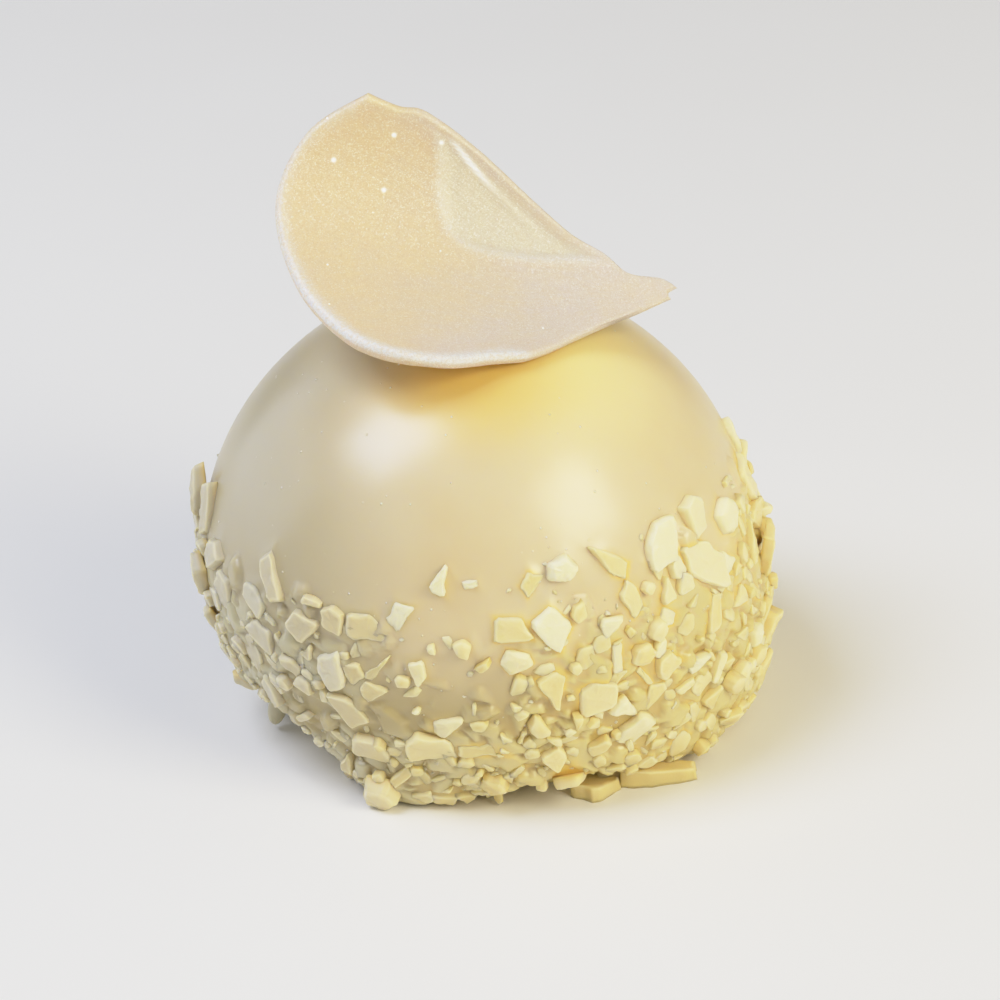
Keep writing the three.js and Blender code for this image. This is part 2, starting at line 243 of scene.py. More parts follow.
def points_near(tree: KDTree, place: Array, reach: float) -> list[int]:
    """Gives the numbers of the tree's points within reach of a place."""
    return [index for _, index, _ in tree.find_range(place, reach)]


def add_node(
    tree: bpy.types.NodeTree, kind: str, settings: dict | None = None, inputs: dict | None = None
) -> bpy.types.Node:
    """Adds one shader node with its settings and links.

    Args:
        tree: The material's node tree.
        kind: The node's type, without its leading ShaderNode.
        settings: The node's own properties by name. Stops are those of a colour ramp: each place
            from 0 to 1, with its hex colour or grey level.
        inputs: Its sockets by name or number. Each is a value, the output that feeds it, or a
            node whose first output in use feeds it.

    Returns:
        The node.
    """
    made = tree.nodes.new("ShaderNode" + kind)
    stops = (settings or {}).get("stops", {})
    for name, value in (settings or {}).items():
        if name != "stops":
            setattr(made, name, value)
    while stops and len(made.color_ramp.elements) < len(stops):
        made.color_ramp.elements.new(0.5)
    for element, (place, shade) in zip(made.color_ramp.elements if stops else (), sorted(stops.items())):
        element.position = place
        element.color = linear(shade) if isinstance(shade, str) else (shade, shade, shade, 1)
    for name, value in (inputs or {}).items():
        if isinstance(value, bpy.types.Node):
            value = next(output for output in value.outputs if output.enabled)
        if isinstance(value, bpy.types.NodeSocket):
            tree.links.new(value, made.inputs[name])
        else:
            made.inputs[name].default_value = value
    return made


def new_material(name: str) -> tuple[bpy.types.Material, bpy.types.NodeTree]:
    """Makes an empty node material.

    Args:
        name: Its name.

    Returns:
        The material and its node tree.
    """
    material = bpy.data.materials.new(name)
    material.use_nodes = True
    material.node_tree.nodes.clear()
    return material, material.node_tree


@dataclass(frozen=True)
class MirrorGlaze:
    """White chocolate glaze with gelatine, poured warm over the frozen mango mousse.

    It sets to a smooth, slightly see-through skin with a satin gloss: soft ivory in the open.
    Painted light is laid into its colour: a painted yellow glow over the crown, where light
    bounces from the petal and shines through it, a painted amber shadow under the petal, painted
    shade that makes it deeper and greyer at the left and towards the foot, and painted shade and
    glow in the crevices round the pieces. Small bubbles rose here and there, most of them where
    the skin faces the lights, and their tops are painted white as glints.
    """

    ivory: str = "E6D6B2"
    deeper: str = "E0CBA0"
    # Painted light: a yellow glow over the crown, where light bounces from the petal and shines through it.
    mango: str = "FAE19A"
    # Painted shadow: amber, under the petal.
    amber: str = "EEC972"
    # Painted shade: deeper towards the foot.
    foot: str = "B5A470"
    # Painted shade: greyer and darker at the left.
    painted_left_shade: str = "B7AB89"
    # Glaze over the sunken pieces, greyer at the left where painted shade falls.
    coated_left: str = "C6BE9C"
    coated_right: str = "DCCB8C"
    # Painted shade and glow in the crevices round the pieces: grey shade at the left, and gold light
    # shining through the chocolate at the right.
    crevice_shade_left: str = "C6B78B"
    crevice_glow_right: str = "FAD36B"
    # Painted highlight: the bubbles' tops, lit white as glints.
    painted_bubble_glint: str = "FBF6E6"
    # The span over which the colours over sunken pieces and in crevices go from the left's painted shade to
    # the right.
    side_mm: tuple[float, float] = (-26.0, 6.0)
    # Where the painted yellow glow is centred, and how far it reaches.
    glow_at_mm: tuple[float, float, float] = (8.0, -10.5, 58.0)
    glow_mm: float = 24.0
    # Where the painted amber shadow under the petal is centred, and how far it reaches.
    amber_at_mm: tuple[float, float, float] = (-3.0, -15.5, 58.0)
    amber_mm: float = 17.5
    # Where the painted shade towards the foot fades in, going down, and how strong it gets.
    foot_mm: tuple[float, float] = (30.0, 14.0)
    foot_share: float = 0.9
    # Where the painted shade at the left fades in, and how strong it gets.
    left_mm: tuple[float, float] = (-5.0, -33.0)
    left_share: float = 0.8
    swirl_mm: float = 16.0
    bubble_spacing_mm: float = 1.7
    bubble_radius_mm: float = 0.2
    bubble_patch_mm: float = 8.0
    # The bubbles gather round the two highlights, where they catch the light.
    bubbly_at_mm: tuple[Sequence[float], Sequence[float]] = ((-20.0, -18.0, 51.5), (14.5, -26.5, 43.0))
    bubbly_mm: float = 13.0
    skin_grain_mm: float = 0.5
    roughness: float = 0.29
    index: float = 1.65
    depth_mm: float = 2.0

    def material(self) -> bpy.types.Material:
        """Builds the glaze's material. It reads the attributes valley and coated.

        Returns:
            The material.
        """
        material, tree = new_material("poured_ivory_mirror_glaze")
        place = add_node(tree, "TexCoord").outputs["Object"]
        crevice_shade, coated = [
            add_node(tree, "Attribute", {"attribute_name": name}).outputs["Fac"]
            for name in ("crevice_shade", "coated")]
        x = add_node(tree, "SeparateXYZ", inputs={"Vector": place}).outputs["X"]
        side = add_node(tree, "MapRange", SMOOTH, {
            "Value": x, "From Min": self.side_mm[0] * MM, "From Max": self.side_mm[1] * MM})
        # Left to right: the glaze over sunken pieces, greyer in painted shade at the left, and the painted
        # shade and glow of the crevices.
        lain, painted_crevice = [
            add_node(tree, "Mix", BLEND, {SHARE: side, UNDER: linear(left), OVER: linear(right)})
            for left, right in (
                (self.coated_left, self.coated_right), (self.crevice_shade_left, self.crevice_glow_right))]
        raised, frothy = self.bubbles(tree, place)
        # Painted highlight: the raised tops of the bubbles are coloured as glints.
        glinting_bubbles = add_node(tree, "Math", {"operation": "MULTIPLY"}, {0: raised, 1: frothy})
        colour = self.swirl_and_painted_light(tree, place)
        for share, over in ((coated, lain), (crevice_shade, painted_crevice), (glinting_bubbles, linear(self.painted_bubble_glint))):
            colour = add_node(tree, "Mix", BLEND, {SHARE: share, UNDER: colour, OVER: over})
        bubbles = add_node(tree, "Bump", inputs={
            "Strength": frothy, "Distance": self.bubble_radius_mm * MM, "Height": raised})
        grain = add_node(tree, "TexNoise", inputs={
            "Vector": place, "Scale": 1 / (self.skin_grain_mm * MM), "Detail": 2.0})
        skin = add_node(tree, "Bump", inputs={
            "Strength": 0.12, "Distance": 0.03 * MM, "Height": grain, "Normal": bubbles})
        shader = add_node(tree, "BsdfPrincipled", inputs={
            "Base Color": colour, "Roughness": self.roughness, "IOR": self.index,
            "Subsurface Weight": 0.5, "Subsurface Scale": self.depth_mm * MM,
            "Subsurface Radius": (1.0, 0.84, 0.34), "Normal": skin})
        add_node(tree, "OutputMaterial", inputs={"Surface": shader})
        return material

    def swirl_and_painted_light(self, tree: bpy.types.NodeTree, place: bpy.types.NodeSocket) -> bpy.types.Node:
        """Adds the swirled colour and painted light: glow, amber shadow, and shade at left and foot.

        Args:
            tree: The material's node tree.
            place: The place.

        Returns:
            The node that gives it.
        """
        swirl = add_node(tree, "TexNoise", inputs={
            "Vector": place, "Scale": 1 / (self.swirl_mm * MM), "Detail": 3.0, "Roughness": 0.45})
        colour = add_node(
            tree, "ValToRGB", {"stops": {0.3: self.deeper, 0.7: self.ivory}}, {"Fac": swirl})
        x, _, z = add_node(tree, "SeparateXYZ", inputs={"Vector": place}).outputs
        # Painted light: the yellow glow round the petal on the crown.
        thin = self.near(tree, place, self.glow_at_mm, self.glow_mm)
        # Painted shadow: amber under the petal.
        shaded = self.near(tree, place, self.amber_at_mm, self.amber_mm)
        # Painted shade: greyer at the left and deeper towards the foot.
        left, low = [
            add_node(tree, "MapRange", SMOOTH, {
                "Value": value, "From Min": start * MM, "From Max": end * MM, "To Max": most})
            for value, (start, end), most in (
                (x, self.left_mm, self.left_share), (z, self.foot_mm, self.foot_share))]
        for share, over in (
                (thin, self.mango), (shaded, self.amber), (left, self.painted_left_shade), (low, self.foot)):
            colour = add_node(tree, "Mix", BLEND, {SHARE: share, UNDER: colour, OVER: linear(over)})
        return colour

    def bubbles(
        self, tree: bpy.types.NodeTree, place: bpy.types.NodeSocket
    ) -> tuple[bpy.types.Node, bpy.types.Node]:
        """Adds the bubbles.

        Args:
            tree: The material's node tree.
            place: The place.

        Returns:
            The nodes that give how far they rise, and in which patches they do.
        """
        cells = add_node(tree, "TexVoronoi", inputs={
            "Vector": place, "Scale": 1 / (self.bubble_spacing_mm * MM), "Randomness": 1.0})
        # A bubble's radius as a share of the cells' spacing, which the distance is measured in.
        share = self.bubble_radius_mm / self.bubble_spacing_mm
        raised = add_node(
            tree, "ValToRGB", {"stops": {0.0: 1.0, 0.5 * share: 0.85, share: 0.0}}, {"Fac": cells})
        patches = add_node(tree, "TexNoise", inputs={
            "Vector": place, "Scale": 1 / (self.bubble_patch_mm * MM), "Detail": 1.0})
        spots = [self.near(tree, place, spot, self.bubbly_mm) for spot in self.bubbly_at_mm]
        about = add_node(tree, "Math", {"operation": "MAXIMUM"}, {0: spots[0], 1: spots[1]})
        lively = add_node(tree, "Math", {"operation": "MULTIPLY_ADD"}, {0: about, 1: 0.18, 2: patches})
        frothy = add_node(tree, "ValToRGB", {"stops": {0.54: 0.0, 0.6: 1.0}}, {"Fac": lively})
        return raised, frothy

    def near(self, tree: bpy.types.NodeTree, place: bpy.types.NodeSocket,
             centre: Sequence[float], reach: float) -> bpy.types.Node:
        """Adds how near a place is.

        Args:
            tree: The material's node tree.
            place: The place.
            centre: Where it is 1, in mm.
            reach: How far from there it fades to 0, in mm.

        Returns:
            The node that gives it.
        """
        away = add_node(tree, "VectorMath", {"operation": "DISTANCE"}, {
            0: place, 1: tuple(v * MM for v in centre)})
        return add_node(tree, "MapRange", SMOOTH, {
            "Value": away, "From Min": reach * MM, "From Max": 0.15 * reach * MM})


@dataclass(frozen=True)
class BrokenWhiteChocolate:
    """Tempered white chocolate broken into bits.

    The faces are waxy and pale cream, and small crumbs look whiter. The rounded edges look
    whiter as well, as broken edges scatter more light, and a painted highlight lies on them.
    Painted warm shade makes a piece gold where it sits in the glaze, painted shade makes those
    near the foot darker and warmer, and at the left painted shade makes all of them greyer.
    """

    body: str = "EEDCA5"
    pale: str = "FAF0CA"
    deeper: str = "E6D190"
    # Painted shade: warm gold where a piece sits in the glaze.
    seat_shade: str = "EFCD7A"
    # Painted shade: darker and warmer towards the foot.
    painted_low_shade: str = "DECA8B"
    # Painted shade: greyer and darker at the left.
    cool: str = "C0BAA8"
    # Where the painted shade towards the foot fades in, going down, and then that at the left.
    low_shade_mm: tuple[float, float] = (18.0, 2.0)
    cool_mm: tuple[float, float] = (-10.0, -32.0)
    crumb_mm: float = 0.4
    roughness: float = 0.42
    depth_mm: float = 1.3

    def material(self) -> bpy.types.Material:
        """Builds the chocolate's material. It reads the attributes tone and worn.

        Returns:
            The material.
        """
        material, tree = new_material("broken_white_chocolate")
        place = add_node(tree, "TexCoord").outputs["Object"]
        tone, light_and_wear = [
            add_node(tree, "Attribute", {"attribute_name": name}).outputs["Fac"]
            for name in ("tone", "light_and_wear")]
        colour = add_node(
            tree, "ValToRGB", {"stops": {0.0: self.deeper, 0.5: self.body, 1.0: self.pale}}, {"Fac": tone})
        # Painted highlight: rims whitened, along with their wear.
        edge_wear_and_highlight = add_node(tree, "MapRange", inputs={
            "Value": light_and_wear, "From Min": 0.5, "From Max": 1.0, "To Max": 0.4})
        # Painted shade: gold at the underside ring, where a piece sits in the glaze.
        shaded_seat = add_node(tree, "MapRange", inputs={
            "Value": light_and_wear, "From Min": 0.35, "From Max": 0.0, "To Max": 0.65})
        x, _, z = add_node(tree, "SeparateXYZ", inputs={"Vector": place}).outputs
        # Painted shade: darker and warmer towards the foot, and greyer at the left.
        low, left = [
            add_node(tree, "MapRange", SMOOTH, {
                "Value": value, "From Min": start * MM, "From Max": end * MM, "To Max": most})
            for value, (start, end), most in ((z, self.low_shade_mm, 0.5), (x, self.cool_mm, 0.7))]
        for share, over in (
                (low, self.painted_low_shade), (left, self.cool), (edge_wear_and_highlight, self.pale), (shaded_seat, self.seat_shade)):
            colour = add_node(tree, "Mix", BLEND, {SHARE: share, UNDER: colour, OVER: linear(over)})
        grain = add_node(tree, "TexNoise", inputs={
            "Vector": place, "Scale": 1 / (self.crumb_mm * MM), "Detail": 3.0, "Roughness": 0.6})
        bump = add_node(tree, "Bump", inputs={"Strength": 0.4, "Distance": 0.12 * MM, "Height": grain})
        shader = add_node(tree, "BsdfPrincipled", inputs={
            "Base Color": colour, "Roughness": self.roughness, "IOR": 1.46,
            "Subsurface Weight": 0.65, "Subsurface Scale": self.depth_mm * MM,
            "Subsurface Radius": (1.0, 0.9, 0.42), "Normal": bump})
        add_node(tree, "OutputMaterial", inputs={"Surface": shader})
        return material


@dataclass(frozen=True)
class PearlDustedChocolate:
    """White chocolate spread thin and brushed with edible pearl dust.

    The dust gives a silky lustre: warm gold where the stroke started, a cool pinkish white
    towards the tip, a greenish white where it is spread thinnest, and fine sparks all over.
    The flakes of the dust are drawn coarser than real ones, so that they still show. The
    brightest flakes are painted white as glints, a few of them and the knife's line also glow,
    and the rim's bluish white is its dust with a painted highlight.
    """

    gold: str = "E8CFA6"
    cream: str = "DFCBAE"
    cool: str = "D9CCC2"
    thin: str = "DCD4BF"
    # Pearl dust on the rim, with a painted highlight of the light from the upper left.
    rim: str = "E5E8EB"
    # Painted glints: the brightest flakes and a few spots, some of which also glow.
    spark: str = "FFFDF6"
    shade: str = "CDB694"
    flake_mm: float = 0.13
    flake_tilt: float = 0.3
    rim_grain_mm: float = 0.4
    spark_mm: float = 0.75
    spark_falloff: float = 2.4
    streaks: tuple[float, float, float] = (5.0, 60.0, 1.0)
    glint_mm: float = 4.5
    shine: float = 0.6
    cloud_mm: float = 9.0
    roughness: float = 0.4
    depth_mm: float = 2.2

    def material(self, sparks: Array) -> bpy.types.Material:
        """Builds the petal's material. It reads the attributes warmth, spread, bead and glint.

        Args:
            sparks: Where the largest painted glints lie, in mm.

        Returns:
            The material.
        """
        material, tree = new_material("pearl_dusted_white_chocolate")
        place = add_node(tree, "TexCoord").outputs["Object"]
        warmth, spread, bead, smear = [
            add_node(tree, "Attribute", {"attribute_name": name}).outputs["Fac"]
            for name in ("warmth", "spread", "bead", "glint")]
        stroke = add_node(tree, "VectorMath", {"operation": "MULTIPLY"}, {
            0: add_node(tree, "TexCoord").outputs["UV"], 1: self.streaks})
        streak = add_node(tree, "TexNoise", inputs={
            "Vector": stroke, "Scale": 1.0, "Detail": 4.0, "Roughness": 0.6})
        flakes = add_node(tree, "TexVoronoi", inputs={
            "Vector": place, "Scale": 1 / (self.flake_mm * MM)})
        chance = add_node(tree, "SeparateColor", inputs={"Color": flakes.outputs["Color"]}).outputs
        shining = self.painted_glints(tree, place, smear, sparks)
        # Painted sparkle: the luckiest flakes, more of them on the rim, are whitened as glints.
        rim_luck = add_node(tree, "Math", {"operation": "MULTIPLY_ADD"}, {0: bead, 1: 0.22, 2: chance[0]})
        sparkling = add_node(tree, "ValToRGB", {"stops": {0.78: 0.0, 1.0: 0.36}}, {"Fac": rim_luck})
        lit = add_node(tree, "Math", {"operation": "MAXIMUM"}, {0: shining, 1: sparkling})
        shaded = add_node(tree, "ValToRGB", {"stops": {0.4: 0.0, 1.0: 0.45}}, {"Fac": chance[2]})
        patchy = add_node(tree, "TexNoise", inputs={
            "Vector": place, "Scale": 1 / (self.rim_grain_mm * MM), "Detail": 3.0, "Roughness": 0.7})
        dusting = add_node(tree, "ValToRGB", {"stops": {0.35: 0.2, 0.65: 1.0}}, {"Fac": patchy})
        # The rim's dust and its painted highlight, in grainy patches.
        on_rim = add_node(tree, "Math", {"operation": "MULTIPLY"}, {0: bead, 1: dusting})
        colour = self.dusted_colour(tree, place, warmth, streak)
        for share, over in (
                (spread, self.thin), (shaded, self.shade), (on_rim, self.rim), (lit, self.spark)):
            colour = add_node(tree, "Mix", BLEND, {SHARE: share, UNDER: colour, OVER: linear(over)})
        dusty = add_node(tree, "MapRange", inputs={"Value": lit, "To Min": 0.05, "To Max": 0.4})
        metal = add_node(tree, "Math", {"operation": "MULTIPLY_ADD"}, {0: bead, 1: 0.08, 2: dusty})
        even = add_node(tree, "MapRange", inputs={
            "Value": chance[1], "To Min": self.roughness - 0.08, "To Max": self.roughness + 0.08})
        rough = add_node(tree, "Math", {"operation": "MULTIPLY_ADD"}, {0: bead, 1: 0.2, 2: even})
        # Painted glow: the glints give off light of their own.
        shone = add_node(tree, "Math", {"operation": "MULTIPLY"}, {0: shining, 1: self.shine})
        shader = add_node(tree, "BsdfPrincipled", inputs={
            "Base Color": colour, "Roughness": rough, "IOR": 1.5, "Metallic": metal,
            "Subsurface Weight": 0.6, "Subsurface Scale": self.depth_mm * MM,
            "Subsurface Radius": (1.0, 0.82, 0.5), "Emission Color": linear(self.spark),
            "Emission Strength": shone, "Normal": self.leaning(tree, streak, flakes)})
        add_node(tree, "OutputMaterial", inputs={"Surface": shader})
        return material

    def dusted_colour(self, tree: bpy.types.NodeTree, place: bpy.types.NodeSocket,
                      warmth: bpy.types.NodeSocket, streak: bpy.types.Node) -> bpy.types.Node:
        """Adds the dusted chocolate's colour, which drifts in clouds and along the stroke.

        Args:
            tree: The material's node tree.
            place: The place.
            warmth: Where the dust looks warm.
            streak: The streaks along the stroke.

        Returns:
            The node that gives it.
        """
        cloud = add_node(tree, "TexNoise", inputs={
            "Vector": place, "Scale": 1 / (self.cloud_mm * MM), "Detail": 5.0, "Roughness": 0.65})
        both = add_node(tree, "Math", {"operation": "MULTIPLY_ADD"}, {0: streak, 1: 0.6, 2: cloud})
        drift = add_node(tree, "Math", {"operation": "MULTIPLY_ADD"}, {0: both, 1: 1.1, 2: -0.88})
        dusted = add_node(tree, "Math", {"operation": "ADD"}, {0: warmth, 1: drift})
        return add_node(
            tree, "ValToRGB", {"stops": {0.0: self.cool, 0.5: self.cream, 1.0: self.gold}}, {"Fac": dusted})

    def painted_glints(self, tree: bpy.types.NodeTree, place: bpy.types.NodeSocket,
               smear: bpy.types.NodeSocket, sparks: Array) -> bpy.types.Node:
        """Adds the painted glints: scattered cells, a few spots and the knife's line, lit white.

        Args:
            tree: The material's node tree.
            place: The place.
            smear: The painted highlight along the knife's line.
            sparks: Where the largest painted glints lie, in mm.

        Returns:
            The node that gives it.
        """
        glints = add_node(tree, "TexVoronoi", inputs={
            "Vector": place, "Scale": 1 / (self.glint_mm * MM)})
        glint = add_node(tree, "ValToRGB", {"stops": {0.0: 1.0, 0.045: 0.0}}, {"Fac": glints})
        shining = add_node(tree, "Math", {"operation": "MAXIMUM"}, {0: glint, 1: smear})
        for spark in sparks:
            away = add_node(tree, "VectorMath", {"operation": "DISTANCE"}, {
                0: place, 1: tuple(spark * MM)})
            bright = add_node(tree, "MapRange", SMOOTH, {
                "Value": away, "From Min": self.spark_mm * MM, "From Max": 0.0})
            core = add_node(tree, "Math", {"operation": "POWER"}, {0: bright, 1: self.spark_falloff})
            shining = add_node(tree, "Math", {"operation": "MAXIMUM"}, {0: shining, 1: core})
        return shining

    def leaning(
        self, tree: bpy.types.NodeTree, streak: bpy.types.Node, flakes: bpy.types.Node
    ) -> bpy.types.Node:
        """Adds the normal of the brushed face, with each flake leaning its own way.

        Args:
            tree: The material's node tree.
            streak: The streaks along the stroke.
            flakes: The flakes of the dust.

        Returns:
            The node that gives it.
        """
        brushed = add_node(tree, "Bump", inputs={
            "Strength": 0.3, "Distance": 0.25 * MM, "Height": streak})
        tilt = add_node(tree, "VectorMath", {"operation": "SUBTRACT"}, {
            0: flakes.outputs["Color"], 1: (0.5, 0.5, 0.5)})
        lean = add_node(tree, "VectorMath", {"operation": "SCALE"}, {0: tilt, "Scale": self.flake_tilt})
        leaning = add_node(tree, "VectorMath", {"operation": "ADD"}, {0: brushed, 1: lean})
        return add_node(tree, "VectorMath", {"operation": "NORMALIZE"}, {0: leaning})


@dataclass(frozen=True)
class PaleTable:
    """A matt white laminate top: even and pale, with no pattern of its own."""

    white: str = "F4F2EE"
    whiter: str = "F7F6F3"
    mottle_mm: float = 60.0

    def material(self) -> bpy.types.Material:
        """Builds the table's material.

        Returns:
            The material.
        """
        material, tree = new_material("matt_white_laminate")
        place = add_node(tree, "TexCoord").outputs["Object"]
        mottle = add_node(tree, "TexNoise", inputs={
            "Vector": place, "Scale": 1 / (self.mottle_mm * MM), "Detail": 2.0})
        colour = add_node(tree, "Mix", BLEND, {
            SHARE: mottle, UNDER: linear(self.white), OVER: linear(self.whiter)})
        shader = add_node(tree, "BsdfPrincipled", inputs={"Base Color": colour, "Roughness": 0.6})
        add_node(tree, "OutputMaterial", inputs={"Surface": shader})
        return material


@dataclass(frozen=True)
class Dent:
    """An uneven place of the foot. A negative depth makes it fuller instead."""

    azimuth: float
    half_width: float
    height: float
    depth: float
    fall: float


@dataclass(frozen=True)
class GlazedForm:
    """The form that the glaze follows: a round dome, leaning a little, on a narrower foot."""

    dome_radius: float = 38.0
    centre_height: float = 22.5
    foot_radius: float = 28.5
    lean: float = 3.5
    lean_top: float = 33.0
    waves: tuple[tuple[float, int, float], ...] = ((0.35, 2, 20.0), (0.25, 3, 75.0))
    dent_narrowing: float = 0.4
    dents: tuple[Dent, ...] = (
        Dent(-153.0, 18.0, 12.0, 6.0, 0.5),
        Dent(-76.0, 20.0, 4.5, 4.5, 0.5),
        Dent(-118.0, 15.0, 8.0, -2.5, 1.5),
        Dent(-28.0, 24.0, 12.0, -1.0, 1.5),
    )

    def dent_depth(self, azimuth: Array, height: Array) -> Array:
        """Tells how far the foot is drawn in at a place.

        Args:
            azimuth: Degrees round the axis.
            height: Millimetres above the base.

        Returns:
            Millimetres, negative where the foot is fuller.
        """
        total = np.zeros(np.broadcast(azimuth, height).shape)
        for dent in self.dents:
            across = turn_between(azimuth, dent.azimuth) / dent.half_width
            narrowed = np.maximum(0.1, 1 - self.dent_narrowing * across * across)
            up = height / (dent.height * narrowed)
            side = np.exp(-(across ** 4))
            total = total + dent.depth * side * np.maximum(0, 1 - up * up) ** dent.fall
        return total

    def point(self, azimuth: Array, slope: Array) -> Array:
        """Gives points of the glaze.

        Args:
            azimuth: Degrees round the axis.
            slope: Degrees, from -90 at the base through 0 at the widest to 90 at the crown.

        Returns:
            Points in mm.
        """
        azimuth, slope = np.broadcast_arrays(np.asarray(azimuth, float), np.asarray(slope, float))
        around, rise = np.radians(azimuth), np.radians(slope)
        foot = self.foot_radius + (self.dome_radius - self.foot_radius) * np.cos(rise)
        radius = np.where(slope < 0, foot, self.dome_radius * np.cos(rise))
        half = np.where(slope < 0, self.centre_height, self.dome_radius)
        height = self.centre_height + half * np.sin(rise)
        flat = np.clip(radius / self.dome_radius, 0, 1)
        wave = sum(h * np.cos(np.radians(n * (azimuth - t))) for h, n, t in self.waves)
        reach = radius + wave * flat * flat - self.dent_depth(azimuth, height)
        shift = -self.lean * smoothstep(height, 0, self.lean_top)
        return np.stack([shift + reach * np.cos(around), reach * np.sin(around), height], -1)

    def slope_at(self, height: float) -> float:
        """Gives the slope at which the glaze has this height."""
        above = height - self.centre_height
        half = self.centre_height if above < 0 else self.dome_radius
        return math.degrees(math.asin(min(1.0, max(-1.0, above / half))))

    def frame_at(self, azimuth: float, height: float) -> tuple[Array, Array]:
        """Gives the frame in which a piece sits on the glaze.

        Args:
            azimuth: Degrees round the axis.
            height: Millimetres above the base.

        Returns:
            The point, and the axes level, up the glaze and straight out, as rows.
        """
        slope = self.slope_at(height)
        step = 0.5
        slopes = [slope, slope, slope, min(slope + step, 90), max(slope - step, -90)]
        near = self.point(azimuth + np.array([0, step, -step, 0, 0]), np.array(slopes))
        level = near[1] - near[2]
        level /= np.linalg.norm(level)
        out = np.cross(level, near[3] - near[4])
        out /= np.linalg.norm(out)
        return near[0], np.stack([level, np.cross(out, level), out])


class Kind(Enum):
    """The kinds of broken piece."""

    PLATE = "plate"
    SLAB = "slab"
    WEDGE = "wedge"
    STICK = "stick"
    LUMP = "lump"


@dataclass(frozen=True)
class KindShape:
    """The shape of one kind of piece.

    Its corners are shares of half its length and width, and its share is that of its kind among
    the scattered pieces.
    """

    corners: tuple[tuple[float, float], ...]
    slender: tuple[float, float]
    share: float
    thicker: float = 1.0
    crown: float = 1.0


SHAPES: dict[Kind, KindShape] = {
    Kind.PLATE: KindShape(
        ((1, -0.55), (0.7, 0.85), (-0.35, 1), (-1, 0.15), (-0.55, -0.95)), (0.62, 0.88), 0.2),
    Kind.SLAB: KindShape(((1, -0.9), (0.6, 0.9), (-0.75, 0.95), (-1, -0.7)), (0.55, 0.85), 0.24),
    Kind.WEDGE: KindShape(
        ((1, 0.05), (-0.55, 1), (-1, 0.45), (-0.8, -1)), (0.5, 0.8), 0.24, thicker=0.95),
    Kind.STICK: KindShape(
        ((1, -0.6), (0.85, 0.9), (-0.95, 0.7), (-0.85, -0.95)), (0.28, 0.45), 0.2, thicker=0.9),
    Kind.LUMP: KindShape(
        ((1, -0.2), (0.5, 0.85), (-0.5, 0.95), (-1, -0.2), (-0.1, -1)), (0.65, 0.9), 0.12,
        thicker=1.35, crown=1.2),
}


def pick_kind(draw: float) -> Kind:
    """Picks a kind of piece by the kinds' shares.

    Args:
        draw: A number from 0 to 1.

    Returns:
        The kind.
    """
    for kind, shape in SHAPES.items():
        draw -= shape.share
        if draw < 0:
            return kind
    return Kind.LUMP


